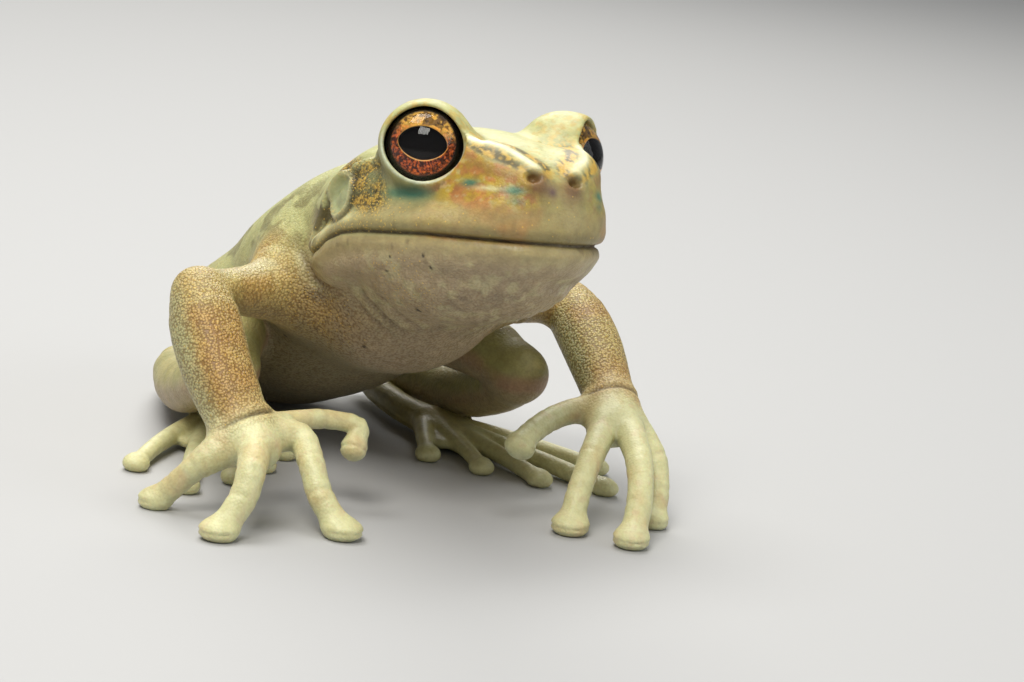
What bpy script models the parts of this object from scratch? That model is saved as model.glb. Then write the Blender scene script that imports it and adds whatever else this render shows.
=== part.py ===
# Andean marsupial frog, life size, sitting on its belly, hands and feet.
# Everything is defined in millimetres in the animal's frame: the head looks
# towards -Y, +X is the animal's left, +Z is up and the ground is z = 0.
# The body is the blend of round cones and ellipsoids laid along its skeleton.
import bpy
import bmesh
import math
import numpy as np
from mathutils import Matrix, Vector

# ---------------------------------------------------------------- sizes (mm)
SNOUT_VENT = 56.0
EYE_R = 3.15                 # eyeball radius
EYE_OUT = 6.15               # eye centre to the middle of the head
EYE_UP = -0.28               # eye centre over the head's own zero
LID_R = 3.62                 # outer radius of the lid over the eyeball
EYE_YAW = 40.0               # eye axis from straight ahead, degrees
EYE_PITCH = 5.0             # eye axis above the head's own level
LID_OPEN = 0.95              # plane of the lid opening, from the eye centre
GAP = 0.30                   # clearance between neighbouring pieces
WEB = 0.36                   # half thickness of the toe webs
EAR_R = 1.45                 # tympanum radius

HEAD_AT = np.array((1.9, -13.4, 29.0))     # midway between the eyes
HEAD_YAW, HEAD_PITCH, HEAD_ROLL = 9.0, 10.5, 3.0

# origin of the part: the middle of its footprint on the ground
ORIGIN = (-0.9975, 1.9653, 0.0)  # middle of the footprint

FLAT = 0.14                  # what lies lower than this rests flat on the floor
VOXEL = 0.42                 # grid of the first skin
TRIANGLES = 5120             # of the whole body before it is divided


def rad(a):
    return math.radians(a)


def head_axes():
    y, p, r = rad(HEAD_YAW), rad(HEAD_PITCH), rad(HEAD_ROLL)
    fwd = np.array((math.sin(y) * math.cos(p), -math.cos(y) * math.cos(p), math.sin(p)))
    left = np.array((math.cos(y), math.sin(y), 0.0))
    up = np.cross(left, -fwd) * -1.0
    if up[2] < 0:
        up = -up
    return left * math.cos(r) - up * math.sin(r), fwd, up * math.cos(r) + left * math.sin(r)


LEFT, FWD, UP = head_axes()


def hp(l, f, u):
    """A point of the head: left, forward and up of the mid-eye point."""
    return HEAD_AT + l * LEFT + f * FWD + u * UP


def eye_axis(s):
    y, p = rad(EYE_YAW), rad(EYE_PITCH)
    return (s * math.sin(y) * math.cos(p)) * LEFT + (math.cos(y) * math.cos(p)) * FWD + math.sin(p) * UP


# ------------------------------------------------------------ distance fields
def smin(a, b, k):
    h = np.maximum(k - np.abs(a - b), 0.0) / k
    return np.minimum(a, b) - h * h * k * 0.25


def smax(a, b, k):
    return -smin(-a, -b, k)


def step01(x, a, b):
    t = np.clip((x - a) / (b - a), 0.0, 1.0)
    return t * t * (3.0 - 2.0 * t)


def dist(P, c):
    d = P - c
    return np.sqrt(d[:, 0] ** 2 + d[:, 1] ** 2 + d[:, 2] ** 2)


def cone(P, a, b, ra, rb):
    a, b = np.asarray(a, float), np.asarray(b, float)
    ab = b - a
    q = P - a
    t = np.clip((q @ ab) / (ab @ ab), 0.0, 1.0)
    q = q - t[:, None] * ab
    return np.sqrt(np.einsum('ij,ij->i', q, q)) - (ra + (rb - ra) * t)


def ellipsoid(P, c, r, rows):
    q = (P - c) @ np.asarray(rows).T
    k0 = np.sqrt(((q / r) ** 2).sum(1)) + 1e-9
    k1 = np.sqrt(((q / np.square(r)) ** 2).sum(1)) + 1e-9
    return k0 * (k0 - 1.0) / k1


def sheet(P, a, b, c, half):
    """A flat triangle given a thickness."""
    a, b, c = [np.asarray(v, float) for v in (a, b, c)]
    ba, cb, ac = b - a, c - b, a - c
    pa, pb, pc = P - a, P - b, P - c
    n = np.cross(ba, ac)
    s = (np.sign(pa @ np.cross(ba, n)) + np.sign(pb @ np.cross(cb, n)) + np.sign(pc @ np.cross(ac, n)))

    def edge(e, q):
        t = np.clip((q @ e) / (e @ e), 0, 1)
        w = q - t[:, None] * e
        return np.einsum('ij,ij->i', w, w)
    d2 = np.where(s < 2.0, np.minimum(np.minimum(edge(ba, pa), edge(cb, pb)), edge(ac, pc)), (pa @ n) ** 2 / (n @ n))
    return np.sqrt(d2) - half


# ------------------------------------------------------------------ skeleton
def tilt_rows(a):
    """Axes across, along and over a body that rises forward by a degrees."""
    c, s = math.cos(rad(a)), math.sin(rad(a))
    return np.array(((1, 0, 0), (0, c, -s), (0, s, c)), float)


# trunk: centre, half sizes (across, along, over), rise forward
TRUNK = [((0.3, -1.8, 17.0), (8.8, 7.8, 8.3), 20.0),
         ((0.0, 6.6, 14.6), (10.0, 11.5, 7.6), 34.0),
         ((0.0, 14.6, 9.3), (9.0, 11.0, 6.8), 30.0),
         ((0.0, 22.2, 6.1), (5.7, 6.4, 4.8), 28.0)]

HEAD_ROWS = np.array((LEFT, FWD, UP))
# head: centre (left, forward, up), half sizes; entries with left > 0 are paired
HEAD = [((0.0, -3.0, -3.6), (8.0, 9.6, 5.2)),      # skull roof
        ((0.0, 4.0, -4.4), (5.3, 6.0, 4.1)),       # snout
        ((4.6, -6.6, -4.9), (4.7, 6.6, 4.2)),      # temple and jaw muscle
        ((0.0, -3.4, -9.2), (8.0, 9.4, 4.4)),      # floor of the mouth and throat
        ((0.0, 2.6, -7.6), (5.6, 5.8, 3.0))]       # chin
LIP = [(0.0, 8.75, -5.95), (2.3, 8.2, -5.95), (4.1, 6.9, -6.0), (5.7, 4.6, -6.1), (7.1, 1.5, -6.25),
       (8.1, -2.3, -6.5), (8.75, -6.0, -7.1), (8.7, -9.2, -8.3)]
LIP_R = 1.2
JAW = [(0.0, 7.9, -8.0), (2.2, 7.4, -8.0), (3.9, 6.1, -8.05), (5.4, 4.0, -8.15), (6.7, 1.0, -8.3),
       (7.7, -2.8, -8.6), (8.2, -6.2, -9.1), (8.2, -8.6, -9.6)]
JAW_R = 1.15
CANTHUS = [(4.9, 3.0, -0.9), (3.6, 5.9, -1.7), (2.1, 8.0, -2.5)]
CANTHUS_R = (1.1, 0.85, 0.75)

# limbs: x, y, z, radius
ARM = {
    'r': [(-6.4, 0.8, 15.6, 3.9), (-11.0, -1.6, 14.9, 2.4), (-14.6, -3.3, 15.0, 1.8), (-17.6, -4.9, 15.1, 1.95)],
    'l': [(6.6, 0.8, 15.3, 3.9), (11.0, 1.5, 14.3, 2.4), (14.4, 2.1, 13.8, 1.8), (17.2, 2.4, 13.5, 1.9)]}
FOREARM = {
    'r': [(-17.6, -4.9, 15.1, 1.95), (-17.5, -6.7, 13.3, 2.75), (-17.2, -9.2, 10.6, 2.72), (-16.3, -11.9, 7.6, 2.4), (-16.0, -12.6, 6.7, 2.15)],
    'l': [(17.2, 2.4, 13.5, 1.9), (17.4, 0.2, 12.7, 2.4), (17.4, -3.5, 10.8, 2.4), (17.0, -7.6, 8.5, 2.05), (16.9, -8.5, 7.9, 1.95)]}
HAND = {
    'r': [(-15.9, -12.6, 6.7, 1.95), (-15.9, -14.2, 6.0, 1.85), (-15.2, -15.2, 5.6, 1.6)],
    'l': [(16.9, -8.5, 7.9, 1.95), (16.2, -10.2, 7.2, 1.85), (15.5, -11.4, 6.7, 1.6)]}
FINGER = {
    'r1': [(-14.4, -12.9, 6.5, 1.25), (-11.6, -11.7, 6.8, 0.9), (-8.6, -10.9, 6.9, 0.72), (-5.9, -11.2, 6.4, 0.78), (-6.3, -12.0, 5.1, 0.85)],
    'r2': [(-14.6, -13.6, 6.2, 1.45), (-11.7, -13.9, 6.2, 1.15), (-11.4, -16.2, 4.9, 0.98), (-11.1, -17.9, 2.9, 0.98), (-9.9, -19.5, 0.72, 1.0)],
    'r3': [(-15.6, -13.6, 6.2, 1.6), (-16.0, -16.0, 5.9, 1.3), (-16.9, -18.4, 4.9, 1.1), (-17.7, -19.3, 2.9, 1.05), (-19.3, -19.9, 0.72, 1.0)],
    'r4': [(-16.4, -13.1, 5.9, 1.7), (-18.2, -14.0, 4.9, 1.35), (-19.6, -13.7, 3.7, 1.0), (-20.6, -12.6, 2.1, 0.9), (-21.6, -11.7, 0.62, 0.9)],
    'l1': [(15.9, -9.0, 7.6, 1.25), (13.3, -8.9, 7.3, 1.0), (11.1, -9.5, 6.7, 0.92), (9.3, -10.4, 5.9, 0.9), (8.2, -11.1, 5.2, 0.95)],
    'l2': [(16.1, -9.9, 7.3, 1.5), (14.7, -12.2, 6.7, 1.2), (12.5, -15.0, 5.1, 1.0), (10.8, -17.0, 2.8, 0.95), (9.9, -18.2, 0.72, 1.0)],
    'l3': [(16.6, -10.0, 7.3, 1.6), (16.5, -13.2, 6.7, 1.25), (15.6, -17.4, 5.2, 1.05), (14.6, -20.1, 2.8, 1.0), (13.4, -21.9, 0.72, 1.0)],
    'l4': [(17.2, -9.6, 7.2, 1.6), (18.2, -11.4, 6.2, 1.25), (18.9, -13.5, 4.5, 1.0), (18.6, -15.3, 2.4, 0.9), (17.9, -16.5, 0.62, 0.9)]}
# finger pads: half width, half thickness
PAD = {'r1': (0.95, 0.78), 'r2': (1.55, 0.88), 'r3': (1.48, 0.88), 'r4': (1.2, 0.8),
       'l1': (1.2, 0.8), 'l2': (1.5, 0.87), 'l3': (1.45, 0.87), 'l4': (1.2, 0.8)}
LIFTED = {'r1': (-0.3, -0.45, -0.84), 'l1': (-0.55, -0.45, -0.7)}   # pads that hang clear of the ground

# hind limbs of the right side; the left is their mirror image but for the knee
HIP = (-5.4, 19.4, 8.8, 4.0)
THIGH = [HIP, (-8.0, 12.2, 10.0, 3.6), (-10.9, 5.2, 9.4, 2.8), (-12.6, 0.4, 8.0, 2.25)]
SHANK = [(-12.6, 0.4, 8.0, 2.25), (-13.1, 4.2, 5.9, 2.1), (-12.4, 10.8, 3.9, 2.25), (-10.7, 18.4, 3.2, 1.8), (-8.9, 23.2, 2.6, 1.4)]
TARSUS = [(-8.9, 23.2, 2.6, 1.4), (-8.5, 20.4, 1.8, 1.25), (-8.6, 15.0, 1.4, 1.2), (-9.3, 10.0, 1.4, 1.35)]
TOE = {
    '1': [(-9.1, 10.2, 1.3, 1.1), (-7.7, 7.0, 1.15, 0.76), (-6.9, 4.7, 0.92, 0.66), (-6.4, 2.8, 0.56, 0.66)],
    '2': [(-9.3, 10.0, 1.3, 1.1), (-9.7, 5.9, 1.15, 0.76), (-9.7, 2.2, 0.92, 0.66), (-9.5, -1.1, 0.56, 0.66)],
    '3': [(-9.5, 9.9, 1.3, 1.1), (-11.1, 5.3, 1.15, 0.8), (-12.2, 0.2, 0.95, 0.7), (-13.1, -4.6, 0.56, 0.7)],
    '4': [(-9.8, 9.9, 1.3, 1.1), (-12.4, 5.2, 1.15, 0.84), (-15.2, -0.8, 0.95, 0.74), (-17.8, -7.2, 0.56, 0.74)],
    '5': [(-10.0, 10.1, 1.3, 1.1), (-13.6, 6.9, 1.15, 0.8), (-17.0, 2.9, 0.95, 0.7), (-19.8, -0.9, 0.56, 0.7)]}
TOE_PAD = (1.05, 0.7)


def smooth(chain, n=3):
    """A chain with n steps in each span, on a curve through its points."""
    p = [np.array(q, float) for q in chain]
    p = [2 * p[0] - p[1]] + p + [2 * p[-1] - p[-2]]
    out = []
    for i in range(1, len(p) - 2):
        for j in range(n):
            t = j / n
            out.append(tuple(0.5 * (2 * p[i] + (p[i + 1] - p[i - 1]) * t
                                    + (2 * p[i - 1] - 5 * p[i] + 4 * p[i + 1] - p[i + 2]) * t * t
                                    + (3 * p[i] - p[i - 1] - 3 * p[i + 1] + p[i + 2]) * t ** 3)))
    out.append(tuple(p[-2]))
    return out


def mirrored(chain):
    return [(-x, y, z, r) for x, y, z, r in chain]


def pad_frame(chain, lifted=None):
    """Centre and axes of the pad at the end of a finger or toe."""
    e, b = np.array(chain[-1][:3]), np.array(chain[-2][:3])
    if lifted is not None:
        n = np.array(lifted, float)
        n /= np.linalg.norm(n)
        along = np.array((0.0, 0.0, 1.0)) - n * n[2]
        along /= np.linalg.norm(along)
        return e + 0.35 * n, np.array((np.cross(along, n), along, n))
    d = e - b
    d[2] = 0.0
    d /= np.linalg.norm(d)
    up = np.array((0.0, 0.0, 1.0))
    return e + 0.35 * d, np.array((np.cross(d, up), d, up))


def links(name, chain):
    ch = smooth(chain)
    return [(name, 'cone', np.array(a[:3]), np.array(b[:3]), a[3], b[3]) for a, b in zip(ch, ch[1:])]


def solids():
    """Every building block: name, kind and its numbers."""
    out = []
    for i, (c, r, a) in enumerate(TRUNK):
        out.append(('trunk', 'ell', np.array(c), np.array(r), tilt_rows(a)))
    for c, r in HEAD:
        for s in ((-1, 1) if c[0] > 0 else (1,)):
            out.append(('head', 'ell', hp(s * c[0], c[1], c[2]), np.array(r), HEAD_ROWS))
    for s in (-1, 1):
        for kind, ch, r in (('lip', LIP, LIP_R), ('jaw', JAW, JAW_R)):
            ch = smooth(ch, 4)
            for a, b in zip(ch, ch[1:]):
                out.append((kind, 'cone', hp(s * a[0], a[1], a[2]), hp(s * b[0], b[1], b[2]), r, r))
        for i in range(2):
            a, b = CANTHUS[i], CANTHUS[i + 1]
            out.append(('head', 'cone', hp(s * a[0], a[1], a[2]), hp(s * b[0], b[1], b[2]), CANTHUS_R[i], CANTHUS_R[i + 1]))
        out.append(('lid', 'ell', hp(s * EYE_OUT, 0, EYE_UP), np.array((LID_R,) * 3), HEAD_ROWS))
    for k, side in (('r', -1), ('l', 1)):
        for name, ch in (('arm_' + k, ARM[k]), ('forearm_' + k, FOREARM[k]), ('hand_' + k, HAND[k])):
            out += links(name, ch)
        for n in '1234':
            ch = FINGER[k + n]
            out += links('finger_' + k + n, ch)
            c, rows = pad_frame(ch, LIFTED.get(k + n))
            w, t = PAD[k + n]
            out.append(('pad_' + k + n, 'ell', c, np.array((w, w * 1.02, t)), rows))
        fix = mirrored if k == 'l' else (lambda c: c)
        for name, ch in (('thigh_' + k, THIGH), ('shank_' + k, SHANK), ('tarsus_' + k, TARSUS)):
            out += links(name, fix(ch))
        for n in '12345':
            ch = fix(TOE[n])
            out += links('toe_' + k + n, ch)
            c, rows = pad_frame(ch)
            w, t = TOE_PAD
            out.append(('toepad_' + k + n, 'ell', c, np.array((w, w * 1.02, t)), rows))
        for n in '1234':
            a, b = fix(TOE[n]), fix(TOE[str(int(n) + 1)])
            reach = 0.35 if n in '34' else 0.5
            pa = np.array(a[1][:3]) * (1 - reach) + np.array(a[2][:3]) * reach
            pb = np.array(b[1][:3]) * (1 - reach) + np.array(b[2][:3]) * reach
            root = np.array(a[0][:3])
            mid = (np.array(a[1][:3]) + np.array(b[1][:3])) / 2
            for tri in ((root, pa, mid), (root, mid, pb), (mid, pa, 0.5 * (pa + pb) + (mid - root) * 0.02), (mid, 0.5 * (pa + pb) + (mid - root) * 0.02, pb)):
                tri = [np.array((v[0], v[1], max(v[2] - 0.25, WEB + 0.35))) for v in tri]
                out.append(('web_' + k, 'web', tri[0], tri[1], tri[2], WEB))
    return out


SOLIDS = solids()
BLEND = {'trunk': 5.0, 'head': 2.6, 'lip': 1.3, 'jaw': 1.0, 'lid': 1.2}


def one(P, s):
    if s[1] == 'cone':
        return cone(P, s[2], s[3], s[4], s[5])
    if s[1] == 'ell':
        return ellipsoid(P, s[2], s[3], s[4])
    return sheet(P, s[2], s[3], s[4], s[5])


def reach(s):
    """Box round a building block."""
    if s[1] == 'cone':
        r = max(s[4], s[5])
        return np.minimum(s[2], s[3]) - r, np.maximum(s[2], s[3]) + r
    if s[1] == 'ell':
        r = np.abs(np.asarray(s[4]).T) @ s[3]
        return s[2] - r, s[2] + r
    return np.minimum(np.minimum(s[2], s[3]), s[4]) - s[5], np.maximum(np.maximum(s[2], s[3]), s[4]) + s[5]


GROUPS = {}
for s_ in SOLIDS:
    lo_, hi_ = reach(s_)
    g_ = GROUPS.setdefault(s_[0], [lo_, hi_, []])
    g_[0], g_[1] = np.minimum(g_[0], lo_), np.maximum(g_[1], hi_)
    g_[2].append(s_)
FAR = 5.0                    # a group counts only this near to it


def group(P, name, k):
    lo, hi, members = GROUPS[name]
    q = P[:, :3]
    inside = ((q > lo - FAR) & (q < hi + FAR)).all(1)
    out = np.full(len(P), FAR)
    if inside.any():
        p, d = P[inside], None
        for s in members:
            v = one(p, s)
            d = v if d is None else (smin(d, v, k) if k else np.minimum(d, v))
        out[inside] = d
    return out


def near(P, c, r0, r1):
    """1 within r0 of a point, 0 beyond r1."""
    return 1.0 - step01(dist(P, np.array(c[:3])), r0, r1)


def body(P):
    """Distance to the whole animal's surface, millimetres, negative inside."""
    d = group(P, 'head', BLEND['head'])
    d = smin(d, group(P, 'lip', 0), BLEND['lip'])
    d = smin(d, group(P, 'jaw', 0), BLEND['jaw'])
    d = smin(d, group(P, 'lid', 0.3), BLEND['lid'])
    d = smin(d, group(P, 'trunk', BLEND['trunk']), 4.0)
    for k in 'rl':
        arm = group(P, 'arm_' + k, 0)
        d = smin(d, arm, 0.06 + 3.0 * near(P, ARM[k][0], 5.0, 9.0))
        fore = smin(arm, group(P, 'forearm_' + k, 0), 0.9)
        hand = smin(group(P, 'hand_' + k, 0), fore, 0.06 + 0.8 * near(P, HAND[k][0], 2.5, 5.0))
        for n in '1234':
            f = smin(group(P, 'finger_' + k + n, 0), group(P, 'pad_' + k + n, 0), 0.7)
            hand = smin(hand, f, 0.06 + 1.0 * near(P, FINGER[k + n][0], 2.6, 5.0))
        d = np.minimum(d, hand)
        fix = mirrored if k == 'l' else (lambda c: c)
        thigh = group(P, 'thigh_' + k, 0)
        d = smin(d, thigh, 0.06 + 2.4 * near(P, fix(THIGH)[0], 8.0, 20.0))
        shank = group(P, 'shank_' + k, 0)
        leg = smin(thigh, shank, 0.06 + 1.0 * near(P, fix(THIGH)[-1], 2.5, 5.0))
        foot = group(P, 'tarsus_' + k, 0)
        for n in '12345':
            toe = smin(group(P, 'toe_' + k + n, 0), group(P, 'toepad_' + k + n, 0), 0.6)
            foot = smin(foot, toe, 0.5)
        foot = smin(foot, group(P, 'web_' + k, 0.2), 0.35)
        foot = smin(leg, foot, 0.06 + 0.9 * near(P, fix(TARSUS)[0], 2.2, 5.0))
        d = np.minimum(d, foot)
    return smax(d, -P[:, 2], 0.02)


# ==== build
M_ = 0.001                   # millimetres to metres


def spheroid(bm, c, r, rows, seg=20, rings=12):
    m = Matrix.Identity(4)
    a = np.asarray(rows).T * np.asarray(r)
    for i in range(3):
        for j in range(3):
            m[i][j] = a[i, j]
        m[i][3] = c[i]
    made = bmesh.ops.create_uvsphere(bm, u_segments=seg, v_segments=rings, radius=1.0, matrix=m)
    if np.linalg.det(a) < 0:
        faces = {f for v in made['verts'] for f in v.link_faces}
        bmesh.ops.reverse_faces(bm, faces=list(faces))


def tapered(bm, a, b, ra, rb, seg=14):
    """A round cone: two spheres and the frustum between them."""
    a, b = Vector(a), Vector(b)
    for c, r in ((a, ra), (b, rb)):
        bmesh.ops.create_uvsphere(bm, u_segments=seg, v_segments=8, radius=r, matrix=Matrix.Translation(c))
    d = b - a
    if d.length > 1e-6:
        m = Matrix.Translation((a + b) / 2) @ d.to_track_quat('Z', 'Y').to_matrix().to_4x4()
        bmesh.ops.create_cone(bm, cap_ends=True, cap_tris=False, segments=seg, radius1=ra, radius2=rb,
                              depth=d.length, matrix=m)


def plate(bm, a, b, c, half):
    """A triangle with a thickness."""
    a, b, c = Vector(a), Vector(b), Vector(c)
    n = (b - a).cross(c - a).normalized() * half
    lo = [bm.verts.new(v - n) for v in (a, b, c)]
    hi = [bm.verts.new(v + n) for v in (a, b, c)]
    bm.faces.new(hi)
    bm.faces.new(lo[::-1])
    for i in range(3):
        j = (i + 1) % 3
        bm.faces.new((lo[i], lo[j], hi[j], hi[i]))


def block(s, grow=0.0):
    """One building block as a small mesh of its own."""
    bm = bmesh.new()
    if s[1] == 'cone':
        tapered(bm, s[2], s[3], s[4] + grow, s[5] + grow)
    elif s[1] == 'ell':
        spheroid(bm, s[2], s[3] + grow, s[4])
    else:
        plate(bm, s[2], s[3], s[4], s[5] + grow)
    return bm


def heap(name, meshes):
    """Many small meshes as one object, each still its own body."""
    verts, faces = [], []
    for bm in meshes:
        n = len(verts)
        bm.verts.index_update()
        verts += [tuple(v.co) for v in bm.verts]
        faces += [[v.index + n for v in f.verts] for f in bm.faces]
        bm.free()
    me = bpy.data.meshes.new(name)
    me.from_pydata(verts, [], faces)
    ob = bpy.data.objects.new(name, me)
    bpy.context.scene.collection.objects.link(ob)
    return ob


def object_of(bm, name):
    me = bpy.data.meshes.new(name)
    bm.to_mesh(me)
    bm.free()
    ob = bpy.data.objects.new(name, me)
    bpy.context.scene.collection.objects.link(ob)
    return ob


def settle(ob):
    """Replace an object's mesh by what its modifiers make of it."""
    dg = bpy.context.evaluated_depsgraph_get()
    dg.update()
    me = bpy.data.meshes.new_from_object(ob.evaluated_get(dg), depsgraph=dg)
    ob.modifiers.clear()
    old = ob.data
    ob.data = me
    bpy.data.meshes.remove(old)


def drop(ob):
    me = ob.data
    bpy.data.objects.remove(ob, do_unlink=True)
    bpy.data.meshes.remove(me)


def remesh(ob, size):
    m = ob.modifiers.new('skin', 'REMESH')
    m.mode = 'VOXEL'
    m.voxel_size = size
    m.adaptivity = 0.0
    settle(ob)


def decimate(ob, triangles):
    tri = ob.modifiers.new('tri', 'TRIANGULATE')
    settle(ob)
    m = ob.modifiers.new('thin', 'DECIMATE')
    m.decimate_type = 'COLLAPSE'
    m.ratio = min(1.0, triangles / max(1, len(ob.data.polygons)))
    settle(ob)


def coords(ob):
    co = np.empty(len(ob.data.vertices) * 3)
    ob.data.vertices.foreach_get('co', co)
    return co.reshape(-1, 3)


def set_coords(ob, P):
    ob.data.vertices.foreach_set('co', np.asarray(P, dtype=np.float32).ravel())
    ob.data.update()


def gradient(field, P, e=0.04):
    g = np.empty_like(P)
    for i in range(3):
        q = np.zeros(3)
        q[i] = e
        g[:, i] = (field(P + q) - field(P - q)) / (2 * e)
    return g


def onto(ob, field, steps=3, limit=1.2):
    """Move the vertices onto the blended surface."""
    P = coords(ob)
    for _ in range(steps):
        d = field(P)
        g = gradient(field, P)
        n2 = np.maximum((g * g).sum(1), 0.15)
        move = -(d / n2)[:, None] * g
        size = np.linalg.norm(move, axis=1)
        P = P + move * np.minimum(1.0, limit / np.maximum(size, 1e-9))[:, None]
    P[:, 2] = np.where(P[:, 2] < 0.04, 0.0, P[:, 2])
    set_coords(ob, P)


def boolean(ob, cutter, operation):
    m = ob.modifiers.new('cut', 'BOOLEAN')
    m.operation = operation
    m.solver = 'EXACT'
    m.object = cutter
    settle(ob)


def copy_of(ob, name):
    new = bpy.data.objects.new(name, ob.data.copy())
    bpy.context.scene.collection.objects.link(new)
    return new


def slab(at, normal, size, thick=GAP, name='slab'):
    """A thin square plate across a limb."""
    bm = bmesh.new()
    n = Vector(normal).normalized()
    m = Matrix.Translation(Vector(at)) @ n.to_track_quat('Z', 'Y').to_matrix().to_4x4() @ Matrix.Diagonal((size, size, thick, 1.0))
    bmesh.ops.create_cube(bm, size=1.0, matrix=m)
    return object_of(bm, name)


def volume(ob):
    bm = bmesh.new()
    bm.from_mesh(ob.data)
    v = abs(bm.calc_volume())
    bm.free()
    return v


def part_with(ob, at, normal, size):
    """Cut a thin gap; a cut that loses more than its plate is tried again a hair further on."""
    before = volume(ob)
    for nudge, wide in ((0.0, 1.0), (0.05, 0.93), (-0.05, 1.07), (0.2, 0.96), (-0.2, 1.04), (0.35, 1.0), (-0.35, 1.0)):
        trial = copy_of(ob, 'trial')
        plate_ = slab(np.asarray(at, float) + np.asarray(normal, float) * nudge, normal, size * wide)
        boolean(trial, plate_, 'DIFFERENCE')
        drop(plate_)
        lost = before - volume(trial)
        if 0.0 < lost < size * size * GAP * 1.1:
            break
        if nudge != -0.35:
            drop(trial)
    old = ob.data
    ob.data = trial.data
    bpy.data.objects.remove(trial, do_unlink=True)
    bpy.data.meshes.remove(old)


def mirror_of(ob):
    bm = bmesh.new()
    bm.from_mesh(ob.data)
    for v in bm.verts:
        v.co.x = -v.co.x
    bmesh.ops.reverse_faces(bm, faces=bm.faces)
    return object_of(bm, 'mirror')


def parts_of(ob, least=0.3):
    """The separate closed bodies of a mesh, crumbs left out."""
    bm = bmesh.new()
    bm.from_mesh(ob.data)
    bm.verts.ensure_lookup_table()
    seen, out = set(), []
    for v in bm.verts:
        if v.index in seen:
            continue
        stack, mine = [v], set()
        while stack:
            w = stack.pop()
            if w.index in seen:
                continue
            seen.add(w.index)
            mine.add(w.index)
            stack += [e.other_vert(w) for e in w.link_edges if e.other_vert(w).index not in seen]
        out.append(mine)
    made = []
    for mine in out:
        part = bm.copy()
        part.verts.ensure_lookup_table()
        bmesh.ops.delete(part, geom=[u for u in part.verts if u.index not in mine], context='VERTS')
        if abs(part.calc_volume()) > least:
            made.append(part)
        else:
            part.free()
    bm.free()
    return made


def tidy(bm):
    bmesh.ops.remove_doubles(bm, verts=bm.verts, dist=0.012)
    bmesh.ops.dissolve_degenerate(bm, dist=0.01, edges=bm.edges)
    bmesh.ops.triangulate(bm, faces=[f for f in bm.faces if len(f.verts) > 3])


def lighten(bm, ratio):
    """The same body with fewer triangles."""
    ob = object_of(bm, 'light')
    m = ob.modifiers.new('thin', 'DECIMATE')
    m.decimate_type = 'COLLAPSE'
    m.ratio = ratio
    settle(ob)
    new = bmesh.new()
    new.from_mesh(ob.data)
    drop(ob)
    return new


def box_of(bm):
    P = np.array([v.co for v in bm.verts])
    return P.min(0), P.max(0)


def holder(parts, p):
    """The smallest of the bodies whose box holds a point."""
    p, best, size = np.asarray(p, float), None, None
    for bm in parts:
        lo, hi = box_of(bm)
        if (p > lo).all() and (p < hi).all() and (size is None or np.prod(hi - lo) < size):
            best, size = bm, np.prod(hi - lo)
    return best


def unit(v):
    v = np.asarray(v, float)
    return v / np.linalg.norm(v)


def between(chain, i, t):
    a, b = np.array(chain[i][:3]), np.array(chain[i + 1][:3])
    return a * (1 - t) + b * t, unit(b - a)


def ear_place(s):
    """Where the tympanum lies on the skin, and the way it faces."""
    p = hp(s * 9.6, -7.3, -4.2)[None]
    for _ in range(8):
        g = gradient(body, p)
        p = p - body(p)[:, None] * g / np.maximum((g * g).sum(1), 0.2)[:, None]
    return p[0], unit(gradient(body, p)[0])


def region(name, chains, grow):
    """A simple solid round some limbs, used to divide the body."""
    ob = heap(name, [block(s, grow) for chain in chains for s in links(name, chain)])
    remesh(ob, 0.45)
    decimate(ob, 110 * len(chains))
    return ob


def whole_body():
    """The blended body in one piece."""
    ob = heap('body', [block(s) for s in SOLIDS])
    remesh(ob, VOXEL)
    onto(ob, body, 4)
    remesh(ob, VOXEL)
    onto(ob, body, 3)
    decimate(ob, TRIANGLES)
    onto(ob, body, 2, 0.25)
    return ob


def cut_places():
    """Cuts across the wrists, fingers and toes: place, normal, size."""
    out = []
    for k in 'rl':
        at, n = between(FOREARM[k], 3, 0.0)
        out.append((at, n, 5.8))
        for f in '1234':
            at, n = between(FINGER[k + f], 1, {'1': 0.45, '4': 0.6}.get(f, 0.35))
            out.append((at, n, 2 * (FINGER[k + f][1][3] + 0.45)))
    for t in '12345':
        at, n = between(mirrored(TOE[t]), 1, 0.9)
        out.append((at, n, 2.6))
    return out


LOOK = {                     # colour, roughness
    'trunk': ((0.50, 0.47, 0.20), 0.42), 'head': ((0.55, 0.50, 0.22), 0.38), 'lower_jaw': ((0.47, 0.42, 0.30), 0.45),
    'upper_arm': ((0.60, 0.43, 0.17), 0.45), 'forearm': ((0.62, 0.42, 0.14), 0.48), 'hand': ((0.62, 0.58, 0.30), 0.38),
    'finger': ((0.66, 0.64, 0.36), 0.36), 'thigh': ((0.48, 0.42, 0.22), 0.45), 'shank': ((0.48, 0.42, 0.20), 0.45),
    'foot': ((0.52, 0.47, 0.26), 0.42), 'toe': ((0.62, 0.58, 0.34), 0.38), 'tympanum': ((0.36, 0.36, 0.22), 0.4),
    'eye': ((0.20, 0.06, 0.02), 0.06)}


def look_of(name):
    for key in sorted(LOOK, key=len, reverse=True):
        if name.startswith(key):
            return key
    return 'trunk'


def material(key):
    ma = bpy.data.materials.get(key)
    if ma is None:
        ma = bpy.data.materials.new(key)
        ma.use_nodes = True
        p = ma.node_tree.nodes['Principled BSDF']
        c, r = LOOK[key]
        p.inputs['Base Color'].default_value = (*c, 1.0)
        p.inputs['Roughness'].default_value = r
        p.inputs['Metallic'].default_value = 0.0
    return ma


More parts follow.
